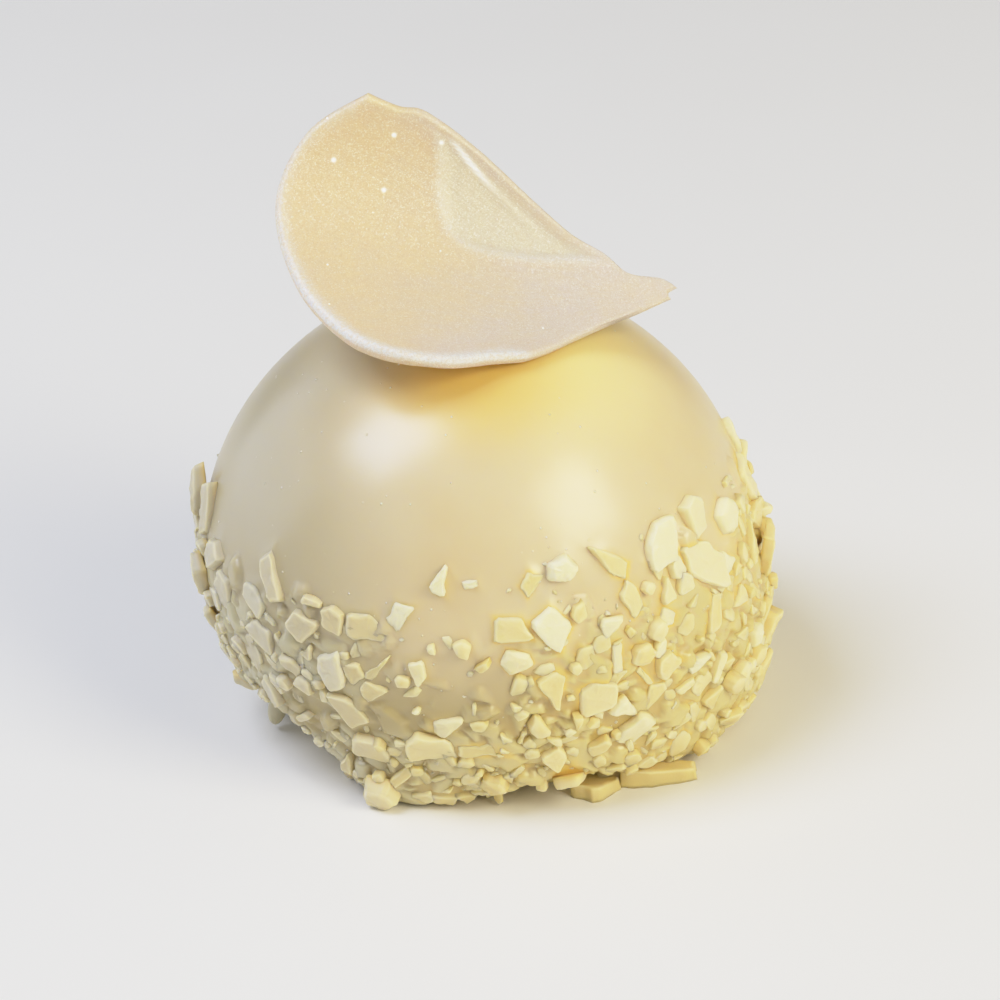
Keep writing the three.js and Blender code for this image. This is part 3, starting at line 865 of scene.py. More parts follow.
@dataclass
class Piece:
    """One broken piece: where it sticks, and how it was broken."""

    kind: Kind
    azimuth: float
    height: float
    length: float
    width: float
    turn: float
    lift: float = 0.0
    point: Array = field(default_factory=lambda: np.zeros(3))
    axes: Array = field(default_factory=lambda: np.eye(3))
    outline: Array = field(default_factory=lambda: np.zeros((0, 2)))
    thickness: float = 0.0
    taper: float = 1.0
    tips: tuple[float, float] = (0.0, 0.0)
    least_edge: float = 0.35
    sink: float = 0.0
    lying: bool = False
    lifted_share: float = 0.7

    def break_off(self, rules: "CoatRules", draw: Draw, thickness: float | None = None) -> None:
        """Draws the piece's outline, thickness and tipped top.

        Args:
            rules: What the pieces have in common.
            draw: The draw.
            thickness: Its thickness, where that is settled beforehand.
        """
        shape = SHAPES[self.kind]
        self.thickness = thickness or between(rules.thickness, draw) * shape.thicker
        self.taper = between(rules.taper, draw)
        self.tips = (between(rules.tip_along, draw), between(rules.tip_across, draw))
        drift = (-rules.drift, rules.drift)
        points = []
        for along, across in shape.corners:
            x = self.length / 2 * (along + between(drift, draw))
            points.append((x, self.width / 2 * (across + between(drift, draw))))
        self.outline = np.array(points)

    def placed(self, local: Array) -> Array:
        """Puts points of the piece where it lies.

        Args:
            local: Points in the piece's own frame, its underside at 0.

        Returns:
            Points in mm.
        """
        turn = math.radians(self.turn)
        uphill = math.copysign(1.0, math.sin(turn)) if math.sin(turn) else 1.0
        tilt = math.radians(-self.lift * uphill)
        x = local[:, 0] * math.cos(tilt) + local[:, 2] * math.sin(tilt)
        z = local[:, 2] * math.cos(tilt) - local[:, 0] * math.sin(tilt)
        raised = self.lifted_share * (self.length / 2) * math.sin(math.radians(self.lift))
        z = z + raised - self.sink
        y = local[:, 1]
        turned = np.stack([
            x * math.cos(turn) - y * math.sin(turn), x * math.sin(turn) + y * math.cos(turn), z], -1)
        return self.point + turned @ self.axes

    def own_place(self, points: Array) -> tuple[Array, Array]:
        """Tells where points lie along and across the piece, from its middle.

        Args:
            points: Places in mm.

        Returns:
            Millimetres along it, and across it.
        """
        turn = math.radians(self.turn)
        flat = (points - self.point) @ self.axes.T
        along = flat[:, 0] * math.cos(turn) + flat[:, 1] * math.sin(turn)
        return along, flat[:, 1] * math.cos(turn) - flat[:, 0] * math.sin(turn)

    def proud_at(self, points: Array) -> Array:
        """Tells how far the piece's top stands over the bare glaze.

        Args:
            points: Places in mm.

        Returns:
            Millimetres for each place.
        """
        along, across = self.own_place(points)
        top = self.thickness + self.tips[0] * along + self.tips[1] * across
        return np.maximum(self.least_edge * self.thickness, top) - self.sink

    def distance_to(self, points: Array) -> Array:
        """Tells how far points of the glaze lie outside the piece's outline.

        Args:
            points: Places in mm.

        Returns:
            Millimetres, negative inside the outline.
        """
        x, y = self.own_place(points)
        following = np.roll(self.outline, -1, axis=0)
        sides = following - self.outline
        lengths = np.linalg.norm(sides, axis=1)
        outward = np.stack([sides[:, 1], -sides[:, 0]], -1) / lengths[:, None]
        away = (x[:, None] - self.outline[:, 0]) * outward[:, 0]
        away = away + (y[:, None] - self.outline[:, 1]) * outward[:, 1]
        return away.max(axis=1)


@dataclass(frozen=True)
class BarePatch:
    """A patch of the glaze where few pieces stick, with its half sizes in degrees and mm."""

    azimuth: float
    height: float
    half_width: float
    half_height: float
    cover: float


@dataclass(frozen=True)
class CoatRules:
    """Where the broken chocolate sticks, and the shapes that its pieces have."""

    scattered: int = 196
    largest: float = 7.0
    smallest: float = 2.9
    falloff: float = 0.6
    uneven: tuple[float, float] = (0.88, 1.12)
    lowest: float = 1.0
    crowding: float = 0.66
    thinning: float = 0.7
    top_cover: float = 0.2
    seed: int = 20417
    tries: int = 60
    top_mean: float = 32.5
    top_twice: float = 2.2
    top_once: float = 2.4
    top_turn: float = 40.0
    bare: tuple[BarePatch, ...] = (
        BarePatch(-97.0, 23.0, 17.0, 8.0, 0.08),
        BarePatch(-112.0, 16.5, 9.0, 3.5, 0.1),
        BarePatch(-131.0, 13.0, 8.0, 4.5, 0.2),
    )
    thickness: tuple[float, float] = (1.1, 1.9)
    sink: float = 0.55
    taper: tuple[float, float] = (0.82, 0.96)
    tip_along: tuple[float, float] = (-0.14, 0.14)
    tip_across: tuple[float, float] = (-0.18, 0.18)
    drift: float = 0.2
    most_lift: float = 20.0

    @property
    def highest(self) -> float:
        """Gives the height in mm that no piece lies above."""
        return self.top_mean + self.top_twice + self.top_once

    def cover(self, azimuth: float, height: float) -> float:
        """Tells how much of the glaze is covered at a place.

        Args:
            azimuth: Degrees round the axis.
            height: Millimetres above the base.

        Returns:
            A share from 0 to 1.
        """
        top = self.top_mean + self.top_twice * math.cos(math.radians(2 * azimuth))
        top += self.top_once * math.cos(math.radians(azimuth + self.top_turn))
        if height > top:
            return 0.0
        covered = 1 - (1 - self.top_cover) * float(smoothstep(height / top, self.thinning, 1))
        for patch in self.bare:
            across = float(turn_between(azimuth, patch.azimuth)) / patch.half_width
            up = (height - patch.height) / patch.half_height
            covered *= lerp(1, patch.cover, math.exp(-((across * across + up * up) ** 2)))
        return covered

    def scatter(self, form: GlazedForm, placed: list[Piece], draw: Draw) -> list[Piece]:
        """Scatters pieces by rule, the largest first, clear of those already there.

        Args:
            form: What they stick to.
            placed: The pieces already there. The new ones are added to it.
            draw: The draw.

        Returns:
            The new pieces.
        """
        points = [piece.point for piece in placed]
        lengths = [piece.length for piece in placed]
        made = []
        for i in range(self.scattered):
            usual = lerp(self.largest, self.smallest, (i / self.scattered) ** self.falloff)
            length = usual * between(self.uneven, draw)
            for _ in range(self.tries):
                azimuth = 360 * draw()
                height = between((self.lowest, self.highest), draw)
                if draw() > self.cover(azimuth, height):
                    continue
                point = form.point(azimuth, form.slope_at(height))
                away = np.linalg.norm(np.array(points) - point, axis=1)
                if (away < self.crowding * (np.array(lengths) + length) / 2).any():
                    continue
                kind = pick_kind(draw())
                width = length * between(SHAPES[kind].slender, draw)
                turn = 360 * draw()
                lift = self.most_lift * draw() ** 3
                point, axes = form.frame_at(azimuth, height)
                made.append(Piece(kind, azimuth, height, length, width, turn, lift, point, axes))
                points.append(point)
                lengths.append(length)
                break
        placed.extend(made)
        return made


# Pieces that stand out at the front: kind, azimuth, height, length, width, turn and lift.
PLATE, SLAB, WEDGE, STICK, LUMP = Kind
STANDING_OUT: tuple[tuple, ...] = (
    (LUMP, -178, 34.5, 8.5, 4.4, 98, 20),
    (STICK, -169, 34, 7.4, 3.6, 108, 4),
    (STICK, -177, 28.5, 6.5, 3, 110, 6),
    (PLATE, -159, 30.5, 6, 4.5, 24, 3),
    (STICK, -137, 32.5, 7.5, 3, 302, 3),
    (SLAB, -128, 28, 5, 4.5, 60, 0),
    (PLATE, -121, 29.5, 4.5, 4.5, -25, 0),
    (SLAB, -114, 29, 6.5, 5.5, 7, 0),
    (SLAB, -107, 31.5, 4.5, 3, 62, 0),
    (WEDGE, -112, 24, 6.5, 1.8, 50, 0),
    (PLATE, -123, 22, 7.5, 5.5, 89, 0),
    (SLAB, -118, 22.5, 3.5, 3, -62, 0),
    (WEDGE, -114, 20, 4.5, 4, 8, 0),
    (SLAB, -104, 23.5, 4, 2.5, -69, 0),
    (WEDGE, -98, 36, 5, 2.8, 70, 0),
    (STICK, -92, 35.5, 2.5, 1.5, -2, 0),
    (PLATE, -106, 11.5, 8, 5, -5, 5),
    (SLAB, -120, 9.5, 6, 5.5, -3, 4),
    (LUMP, -120, 3, 6, 5.5, -70, 14),
    (WEDGE, -100, 15.5, 6, 3.5, 25, 0),
    (STICK, -95, 11.5, 7, 3, -1, 0),
    (LUMP, -94, 5, 4.5, 4, 0, 8),
    (SLAB, -84, 29.5, 5.5, 4, 7, 0),
    (SLAB, -76, 29, 6, 4.5, -47, 0),
    (LUMP, -84, 25, 5.5, 4, -6, 0),
    (WEDGE, -78, 20, 8, 5, -78, 0),
    (SLAB, -79, 35, 4, 2.5, 53, 0),
    (LUMP, -72, 36, 5.5, 4.5, 20, 6),
    (WEDGE, -62, 36, 8.5, 3, 135, 0),
    (PLATE, -48, 35.5, 7.5, 5.5, 62, 8),
    (PLATE, -36, 36.5, 7, 5, -84, 4),
    (PLATE, -37, 30, 10.5, 6, -39, 0),
    (PLATE, -58, 30, 5.6, 2.8, -74, 0),
    (STICK, -38, 23, 5.5, 3.4, 66, 0),
    (STICK, -64, 23, 5.2, 2.2, 83, 0),
    (LUMP, -58, 22.5, 4.3, 3, 7, 0),
    (PLATE, -70, 18, 6.5, 5.5, -13, 0),
    (WEDGE, -16, 27, 8.5, 4, 88, 4),
    (WEDGE, -10, 22.5, 10, 6.5, -88, 16),
    (WEDGE, -7, 28.5, 5.5, 4, 20, 6),
    (SLAB, -12, 12.5, 6, 3.5, 62, 16),
    (WEDGE, -16, 7, 7, 3.5, 56, 18),
    (STICK, 2, 37, 6.2, 2.2, 96, 3),
    (PLATE, -5, 32.5, 8.6, 5, 96, 0),
    (WEDGE, 3, 34, 5, 3.2, 80, 24),
    (PLATE, -9, 10, 5, 3.6, 60, 10),
)

# Pieces that came off and stick to the foot: kind, x, y, length, width, thickness and turn.
# The first one reaches in under the glaze and holds the other two.
AT_THE_FOOT: tuple[tuple, ...] = (
    (STICK, 13.4, -24.4, 10.0, 8.4, 1.5, 25),
    (PLATE, 10.4, -29.6, 6.8, 5.6, 1.7, 32),
    (STICK, 19.0, -27.5, 11.6, 4.0, 2.2, 3),
)


@dataclass
class MeshParts:
    """Points, faces and attributes of many small solids, gathered for one joined mesh."""

    points: list[Array] = field(default_factory=list)
    faces: list[tuple[int, ...]] = field(default_factory=list)
    tone: list[Array] = field(default_factory=list)
    light_and_wear: list[Array] = field(default_factory=list)
    count: int = 0

    def add(self, points: Array, faces: Iterable[Sequence[int]], tone: float, light_and_wear: Array) -> None:
        """Adds one solid.

        Args:
            points: Its points in mm.
            faces: Its faces, counted from its own first point.
            tone: How pale the solid is, from 0 to 1.
            light_and_wear: From 0 to 1: low where painted warm shade goes, 1 on rims whitened by wear and a
                painted highlight.
        """
        self.points.append(points)
        self.faces.extend(tuple(self.count + i for i in face) for face in faces)
        self.tone.append(np.full(len(points), tone))
        self.light_and_wear.append(light_and_wear)
        self.count += len(points)

    def piece(self, name: str, material: bpy.types.Material, sharp_from: float) -> bpy.types.Object:
        """Makes the joined mesh.

        Args:
            name: The piece's name.
            material: Its finish.
            sharp_from: The angle in degrees from which its edges are left sharp.

        Returns:
            The piece.
        """
        mesh = bpy.data.meshes.new(name)
        points = np.concatenate(self.points)
        points[:, 2] = np.maximum(points[:, 2], 0)
        mesh.from_pydata(points * MM, [], self.faces)
        mesh.materials.append(material)
        piece = bpy.data.objects.new(name, mesh)
        bpy.context.scene.collection.objects.link(piece)
        write_values(piece, {"tone": np.concatenate(self.tone), "light_and_wear": np.concatenate(self.light_and_wear)})
        select_only(piece)
        bpy.ops.object.shade_smooth_by_angle(angle=math.radians(sharp_from))
        return piece


# A crumb's corners as shares of half its length: six round it, three on top and one below, and
# the faces between them.
CRUMB_CORNERS: Array = np.array((
    (1, 0, 0), (0.4, 0.75, 0.1), (-0.6, 0.7, 0), (-1, -0.1, 0), (-0.3, -0.8, 0.1), (0.6, -0.7, 0),
    (0.45, 0.1, 0.8), (-0.4, 0.25, 0.9), (-0.1, -0.4, 0.85), (0, 0, -0.5)), float)
CRUMB_FACES: tuple[tuple[int, int, int], ...] = (
    (6, 7, 8), (0, 1, 6), (1, 7, 6), (1, 2, 7), (2, 3, 7), (3, 8, 7), (3, 4, 8),
    (4, 5, 8), (5, 6, 8), (5, 0, 6), *((9, (i + 1) % 6, i) for i in range(6)))


@dataclass(frozen=True)
class Wear:
    """How a broken piece's edges came out.

    The edge is how wide they are rounded, in mm. Corners are broken off by shares of the sides,
    middles says whether each side is bent at its middle as well, and tones how pale it may be.
    The bevel and the inner ring are drawn in and lowered by shares of the edge. The last three
    are values of the attribute worn, for a fallen piece's underside ring, the faces and the rim:
    low values paint warm shade where a piece sits in the glaze, and the rim's value whitens it,
    by wear and a painted highlight.
    """

    edge: float
    corner: tuple[float, float]
    middles: bool
    tones: tuple[float, float]
    bend: tuple[float, float] = (-0.05, 0.05)
    bend_at: tuple[float, float] = (0.35, 0.65)
    least_scale: float = 0.4
    most_drop: float = 0.6
    wall_taper: float = 0.8
    bevel: tuple[float, float] = (0.6, 0.12)
    inner: tuple[float, float] = (2.4, -0.2)
    inner_crown: float = 0.6
    middle_rise: float = 0.3
    jitter: float = 0.5
    dry_seat: float = 0.4
    face: float = 0.5
    rim: float = 1.0

    def outline(self, corners: Array, draw: Draw) -> Array:
        """Breaks an outline's corners off and bends its sides a little.

        Args:
            corners: The corners.
            draw: The draw.

        Returns:
            Two or three points for each corner.
        """
        points = []
        for i, corner in enumerate(corners):
            before, after = corners[i - 1], corners[(i + 1) % len(corners)]
            points.append(corner + (before - corner) * between(self.corner, draw))
            points.append(corner + (after - corner) * between(self.corner, draw))
            if self.middles:
                side = after - corner
                bend = between(self.bend, draw) * np.array([side[1], -side[0]])
                points.append(corner + side * between(self.bend_at, draw) + bend)
        return np.array(points)

    def rings(self, piece: Piece, outline: Array) -> list[Array]:
        """Gives a piece's rings of points, from its underside up.

        Args:
            piece: The piece.
            outline: Its outline, with its corners broken off.

        Returns:
            The rings, in the piece's own frame.
        """
        reach = np.linalg.norm(outline, axis=1)

        def ring(scale: float, inset: float, drop: float) -> Array:
            """Gives one ring of the piece, drawn in by inset and lowered by drop."""
            flat = outline * scale * np.maximum(self.least_scale, 1 - inset / reach)[:, None]
            slant = piece.tips[0] * flat[:, 0] + piece.tips[1] * flat[:, 1]
            top = np.maximum(piece.least_edge * piece.thickness, piece.thickness + slant)
            return np.column_stack([flat, top - np.minimum(drop, self.most_drop * top)])

        rings = [
            np.column_stack([outline, np.zeros(len(outline))]),
            ring(lerp(1, piece.taper, self.wall_taper), 0.0, self.edge),
            ring(piece.taper, self.bevel[0] * self.edge, self.bevel[1] * self.edge)]
        if self.middles:
            inner = ring(piece.taper, self.inner[0] * self.edge, self.inner[1] * self.edge)
            inner[:, 2] += (SHAPES[piece.kind].crown - 1) * piece.thickness * self.inner_crown
            rings.append(inner)
        return rings


@dataclass
class ChocolateCoat:
    """The broken chocolate: larger pieces, small chips between them, sunken ones and crumbs."""

    form: GlazedForm
    rules: CoatRules = field(default_factory=CoatRules)
    chip_rules: CoatRules = field(default_factory=lambda: CoatRules(
        scattered=640, largest=4.4, smallest=1.3, crowding=0.54, tries=24, thickness=(0.8, 1.5),
        sink=0.62, most_lift=26.0, top_cover=0.1))
    sunken_rules: CoatRules = field(default_factory=lambda: CoatRules(
        scattered=900, largest=5.5, smallest=1.8, crowding=0.42, tries=20, thickness=(0.4, 1.0),
        top_cover=0.05))
    worn_well: Wear = Wear(0.27, (0.06, 0.16), True, (0.2, 1.0))
    worn_small: Wear = Wear(0.22, (0.1, 0.24), False, (0.0, 0.7))
    chip_seed: int = 811
    sunken_seed: int = 563
    crumb_seed: int = 4127
    wear_seed: int = 97
    crumbs: int = 800
    crumb_length: tuple[float, float] = (0.45, 1.25)
    crumb_width: tuple[float, float] = (0.6, 0.95)
    crumb_height: tuple[float, float] = (0.5, 0.8)
    crumb_uneven: float = 0.45
    crumb_tones: tuple[float, float] = (0.4, 1.0)
    crumb_beside: tuple[float, float] = (0.2, 1.8)
    crumb_lowest: float = 0.4
    crumb_falloff: float = 1.2
    crumb_evenness: float = 0.7
    grain_mm: tuple[float, float] = (1.4, 0.5)
    grain: tuple[float, float] = (0.15, 0.055)
    grain_offset: float = 5.0
    coated_edge: float = 0.4
    ride_up: float = 0.7
    standing: list[Piece] = field(default_factory=list)
    scattered: list[Piece] = field(default_factory=list)
    fallen: list[Piece] = field(default_factory=list)
    chips: list[Piece] = field(default_factory=list)
    sunken: list[Piece] = field(default_factory=list)

    def lay_out(self) -> None:
        """Settles every piece's place and shape, in the order that the draws come in."""
        draw = seeded(self.rules.seed)
        for kind, azimuth, height, length, width, turn, lift in STANDING_OUT:
            point, axes = self.form.frame_at(azimuth, height)
            self.standing.append(Piece(kind, azimuth, height, length, width, turn, lift, point, axes))
        placed = list(self.standing)
        self.scattered = self.rules.scatter(self.form, placed, draw)
        for piece in self.standing + self.scattered:
            piece.sink = self.rules.sink
            piece.break_off(self.rules, draw)
        for kind, x, y, length, width, thickness, turn in AT_THE_FOOT:
            piece = Piece(kind, 0, 0, length, width, turn, point=np.array([x, y, 0.0]), lying=True)
            piece.break_off(self.rules, draw, thickness)
            self.fallen.append(piece)
        self.sunken = self.small_pieces(self.sunken_rules, placed[:], self.sunken_seed)
        self.chips = self.small_pieces(self.chip_rules, placed, self.chip_seed)
        raised = self.raised_at(np.array([chip.point for chip in self.chips]))
        for chip, rise in zip(self.chips, raised):
            chip.point = chip.point + chip.axes[2] * self.ride_up * rise

    def raised_at(self, points: Array) -> Array:
        """Tells how far the sunken pieces raise the glaze.

        Args:
            points: Points of the bare glaze in mm.

        Returns:
            Millimetres for each point.
        """
        rise = np.zeros(len(points))
        tree = point_tree(points)
        for piece in self.sunken:
            reach = CORNER_REACH * piece.length + self.coated_edge
            near = points_near(tree, piece.point, reach)
            if near:
                away = piece.distance_to(points[near])
                proud = piece.thickness * smoothstep(away, self.coated_edge, -self.coated_edge)
                rise[near] = np.maximum(rise[near], proud)
        return rise

    def small_pieces(self, rules: CoatRules, placed: list[Piece], seed: int) -> list[Piece]:
        """Scatters smaller pieces among those already there.

        Args:
            rules: Their rules.
            placed: The pieces already there.
            seed: The seed of their draws.

        Returns:
            The new pieces.
        """
        draw = seeded(seed)
        made = rules.scatter(self.form, placed, draw)
        for piece in made:
            piece.sink = rules.sink
            piece.break_off(rules, draw)
        return made

    def broken_piece(self, parts: MeshParts, piece: Piece, wear: Wear, draw: Draw) -> None:
        """Adds one broken piece with rounded edges.

        Args:
            parts: The mesh that it is added to.
            piece: The piece.
            wear: How it came out.
            draw: The draw for its wear.
        """
        outline = wear.outline(piece.outline, draw)
        count = len(outline)
        rings = wear.rings(piece, outline)
        middle = piece.thickness * SHAPES[piece.kind].crown + wear.middle_rise * wear.edge
        local = np.concatenate(rings + [np.array([[0, 0, middle]])])
        jitter = np.array([draw() for _ in range(3 * (len(local) - count))]).reshape(-1, 3) - 0.5
        local[count:] += jitter * wear.jitter * wear.edge
        if piece.lying:
            local[:, 2] = np.maximum(local[:, 2], 0)
        # A piece that came off has no glaze round its underside, so it gets none of the painted gold shade
        # there.
        seat_shade = wear.dry_seat if piece.lying else 0.0
        shares = (seat_shade, wear.face, wear.rim, wear.face)[:len(rings)]
        light_and_wear = np.concatenate([np.full(count, share) for share in shares] + [[wear.face]])
        faces = self.ring_faces(count, len(rings))
        parts.add(piece.placed(local), faces, between(wear.tones, draw), light_and_wear)

    def ring_faces(self, count: int, rings: int) -> list[tuple[int, ...]]:
        """Gives the faces of a solid made of rings, with one point on top.

        Args:
            count: How many points each ring has.
            rings: How many rings there are.

        Returns:
            The faces, the underside first.
        """
        faces = [tuple(range(count))[::-1]]
        top = (rings - 1) * count
        for low in range(0, top, count):
            for i in range(count):
                following = (i + 1) % count
                faces.append((low + i, low + following, low + count + following, low + count + i))
        return faces + [(top + i, top + (i + 1) % count, top + count) for i in range(count)]

    def crumb(self, parts: MeshParts, point: Array, axes: Array, length: float, draw: Draw) -> None:
        """Adds one crumb, a small uneven stone.

        Args:
            parts: The mesh that it is added to.
            point: Where it sticks.
            axes: The frame that it sticks in, as rows.
            length: Its length in mm.
            draw: The draw.
        """
        luck = np.array([draw() for _ in range(CRUMB_CORNERS.size)]).reshape(-1, 3) - 0.5
        corners = CRUMB_CORNERS + luck * self.crumb_uneven
        squat = (1.0, between(self.crumb_width, draw), between(self.crumb_height, draw))
        corners *= np.array(squat) * length / 2
        spin = 2 * math.pi * draw()
        turned = corners @ np.array([
            [math.cos(spin), math.sin(spin), 0], [-math.sin(spin), math.cos(spin), 0], [0, 0, 1]])
        light_and_wear = np.full(len(corners), self.worn_small.face)
        parts.add(point + turned @ axes, CRUMB_FACES, between(self.crumb_tones, draw), light_and_wear)

    def scatter_crumbs(self, parts: MeshParts) -> None:
        """Scatters the crumbs, half of them close round the pieces that they broke off.

        Args:
            parts: The mesh that they are added to.
        """
        draw = seeded(self.crumb_seed)
        highest = self.rules.highest
        pieces = self.standing + self.scattered + self.chips
        made = 0
        while made < self.crumbs:
            if made % 2:
                beside = pieces[int(draw() * len(pieces))]
                reach = beside.length / 2 + between(self.crumb_beside, draw)
                way = 2 * math.pi * draw()
                azimuth = beside.azimuth + math.degrees(reach * math.cos(way) / self.form.dome_radius)
                height = beside.height + reach * math.sin(way)
                height = min(max(height, self.crumb_lowest), highest)
            else:
                azimuth, height = 360 * draw(), highest * draw() ** self.crumb_falloff
                if draw() > self.rules.cover(azimuth, height) ** self.crumb_evenness:
                    continue
            point, axes = self.form.frame_at(azimuth, height)
            self.crumb(parts, point, axes, between(self.crumb_length, draw), draw)
            made += 1

    def roughen(self, piece: bpy.types.Object, levels: int) -> None:
        """Gives pieces the uneven faces of a break.

        Args:
            piece: Their joined mesh.
            levels: How often its faces are split first.
        """
        apply_modifier(
            piece, "SUBSURF", subdivision_type="SIMPLE", levels=levels, render_levels=levels)
        points = points_of(piece)
        normals = np.empty(len(points) * 3)
        piece.data.vertex_normals.foreach_get("vector", normals)
        rough = sum(
            height * roughly(points, spacing, self.grain_offset)
            for spacing, height in zip(self.grain_mm, self.grain))
        moved = points + normals.reshape(-1, 3) * rough[:, None]
        moved[:, 2] = np.maximum(moved[:, 2], 0)
        place_points(piece, moved)
        piece.data.shade_smooth()

    def build(self, material: bpy.types.Material) -> list[bpy.types.Object]:
        """Builds the coat as one joined mesh for each kind.

        Args:
            material: The broken chocolate's finish.

        Returns:
            The pieces.
        """
        # Each mesh's name, pieces, wear, sharpest smooth edge in degrees, and how often it is split.
        meshes = (
            ("standing_chocolate_pieces", self.standing + self.fallen, self.worn_well, 180, 2),
            ("broken_chocolate_pieces", self.scattered, self.worn_well, 180, 1),
            ("chocolate_chips", self.chips, self.worn_small, 60, 0))
        draw = seeded(self.wear_seed)
        built = []
        for name, pieces, wear, sharp_from, splits in meshes:
            parts = MeshParts()
            for piece in pieces:
                self.broken_piece(parts, piece, wear, draw)
            built.append(parts.piece(name, material, sharp_from))
            if splits:
                self.roughen(built[-1], splits)
        crumbs = MeshParts()
        self.scatter_crumbs(crumbs)
        return built + [crumbs.piece("chocolate_crumbs", material, 50)]


@dataclass
class GlazedDome:
    """The dome under its glaze, cast over the pieces that lie in it, and the glaze's drip.

    Lengths are in mm, and pairs are spans over which something fades in or out.
    """

    form: GlazedForm
    coat: ChocolateCoat
    columns: int = 480
    fine_rows: int = 150
    coarse_rows: int = 32
    fine_top: float = 34.0
    normal_step: float = 0.2
    swell: float = 0.12
    swell_mm: float = 17.0
    pore_mm: float = 2.2
    pore: float = 0.07
    pore_offset: float = 7.0
    pored_to: tuple[float, float] = (30, 40)
    creep: float = 0.46
    creep_mm: float = 0.65
    creep_reach: float = 3.0
    creep_from: tuple[float, float] = (0.2, 1.2)
    drawn_in_mm: float = 0.15
    full_length: float = 4.0
    proud_mm: tuple[float, float] = (0.1, 0.6)
    wedge_bare: float = 0.9
    wedge_bare_to: float = 0.3
    clear_lift: float = 9.0
    ragged_mm: float = 2.6
    ragged: float = 0.45
    ragged_offset: float = 3.0
    ragged_to: tuple[float, float] = (0.5, 4.0)
    # How strongly painted shade and glow fill the crevices round the pieces and the open glaze among them,
    # and how they fall off.
    crevice_shade: float = 0.85
    valley_fall: float = 2.2
    open_valley: float = 0.3
    open_mm: tuple[float, float] = (0.05, 0.4)
    coated_mm: tuple[float, float] = (0.1, 0.5)
    base_steps: tuple[float, ...] = (0.85, 0.5)
    drip_foot: tuple[float, float, float] = (-33.0, -8.6, 0.9)
    drip_top: tuple[float, float, float] = (-31.8, -9.6, 7.4)
    drip_radius: float = 1.4
    drip_flare: float = 0.5
    drip_flare_from: float = 0.55

    def close_to_pieces(self, points: Array) -> Array:
        """Tells how close points of the glaze are to the pieces that show.

        Args:
            points: Points of the bare glaze in mm.

        Returns:
            From 0 far away to 1 at a piece's outline and under it.
        """
        close = np.zeros(len(points))
        tree = point_tree(points)
        for piece in self.coat.standing + self.coat.scattered + self.coat.chips:
            reach = CORNER_REACH * piece.length + self.creep_reach * self.creep_mm
            near = points_near(tree, piece.point, reach)
            away = np.maximum(piece.distance_to(points[near]) + self.drawn_in_mm, 0)
            weight = min(1.0, piece.length / self.full_length)
            weight *= max(0.0, 1 - piece.lift / self.clear_lift)
            weight = weight * smoothstep(piece.proud_at(points[near]), *self.proud_mm)
            if piece.kind is Kind.WEDGE:
                along, _ = piece.own_place(points[near])
                bare = smoothstep(along / piece.length, 0.0, self.wedge_bare_to)
                weight = weight * (1 - self.wedge_bare * bare)
            close[near] = np.maximum(close[near], weight * np.exp(-away / self.creep_mm))
        return close

    def covered_at(self, points: Array) -> Array:
        """Tells how much of the glaze the coat covers.

        Args:
            points: Points of the bare glaze in mm.

        Returns:
            A share from 0 to 1 for each point.
        """
        azimuth = np.degrees(np.arctan2(points[:, 1], points[:, 0] + self.form.lean))
        rules = self.coat.rules
        return np.array([rules.cover(a, z) for a, z in zip(azimuth, points[:, 2])])

    def cast_grid(self) -> tuple[bpy.types.Object, Array, Array]:
        """Makes the dome's grid from a sphere that is open at the base.

        Returns:
            The grid, and the azimuth and slope that each of its points has on the form.
        """
        rows, radius = self.fine_rows + self.coarse_rows, self.form.dome_radius
        deselect_all()
        bpy.ops.mesh.primitive_uv_sphere_add(
            segments=self.columns, ring_count=rows, radius=radius * MM)
        dome = bpy.context.active_object
        dome.name = "glazed_dome"
        select_points(dome, points_of(dome)[:, 2] < -radius + SAME_MM)
        bpy.ops.mesh.delete(type="VERT")
        deselect_all()
        sphere = points_of(dome)
        rise = np.degrees(np.arcsin(np.clip(sphere[:, 2] / radius, -1, 1)))
        row = np.rint((rise + 90) * rows / 180).astype(int) - 1
        azimuth = np.degrees(np.arctan2(sphere[:, 1], sphere[:, 0]))
        slopes = np.concatenate([
            np.linspace(-90, self.fine_top, self.fine_rows),
            np.linspace(self.fine_top, 90, self.coarse_rows + 1)[1:]])
        return dome, azimuth, slopes[np.clip(row, 0, len(slopes) - 1)]

    def outward(self, azimuth: Array, slope: Array) -> Array:
        """Gives the directions straight out of the bare glaze.

        Args:
            azimuth: Degrees round the axis.
            slope: Degrees of slope.

        Returns:
            One direction for each point: level at the base, and upright on the crown's middle.
        """
        step = self.normal_step
        across = self.form.point(azimuth + step, slope) - self.form.point(azimuth - step, slope)
        above = self.form.point(azimuth, np.minimum(slope + step, 90))
        out = np.cross(across, above - self.form.point(azimuth, slope - step))
        size, tiny = np.linalg.norm(out, axis=1)[:, None], 1e-9
        out = np.where(size > tiny, out / np.maximum(size, tiny), np.array([0, 0, 1.0]))
        at_base = self.form.point(azimuth, slope)[:, 2] < 0.01
        out[:, 2] = np.where(at_base, 0, out[:, 2])
        return out

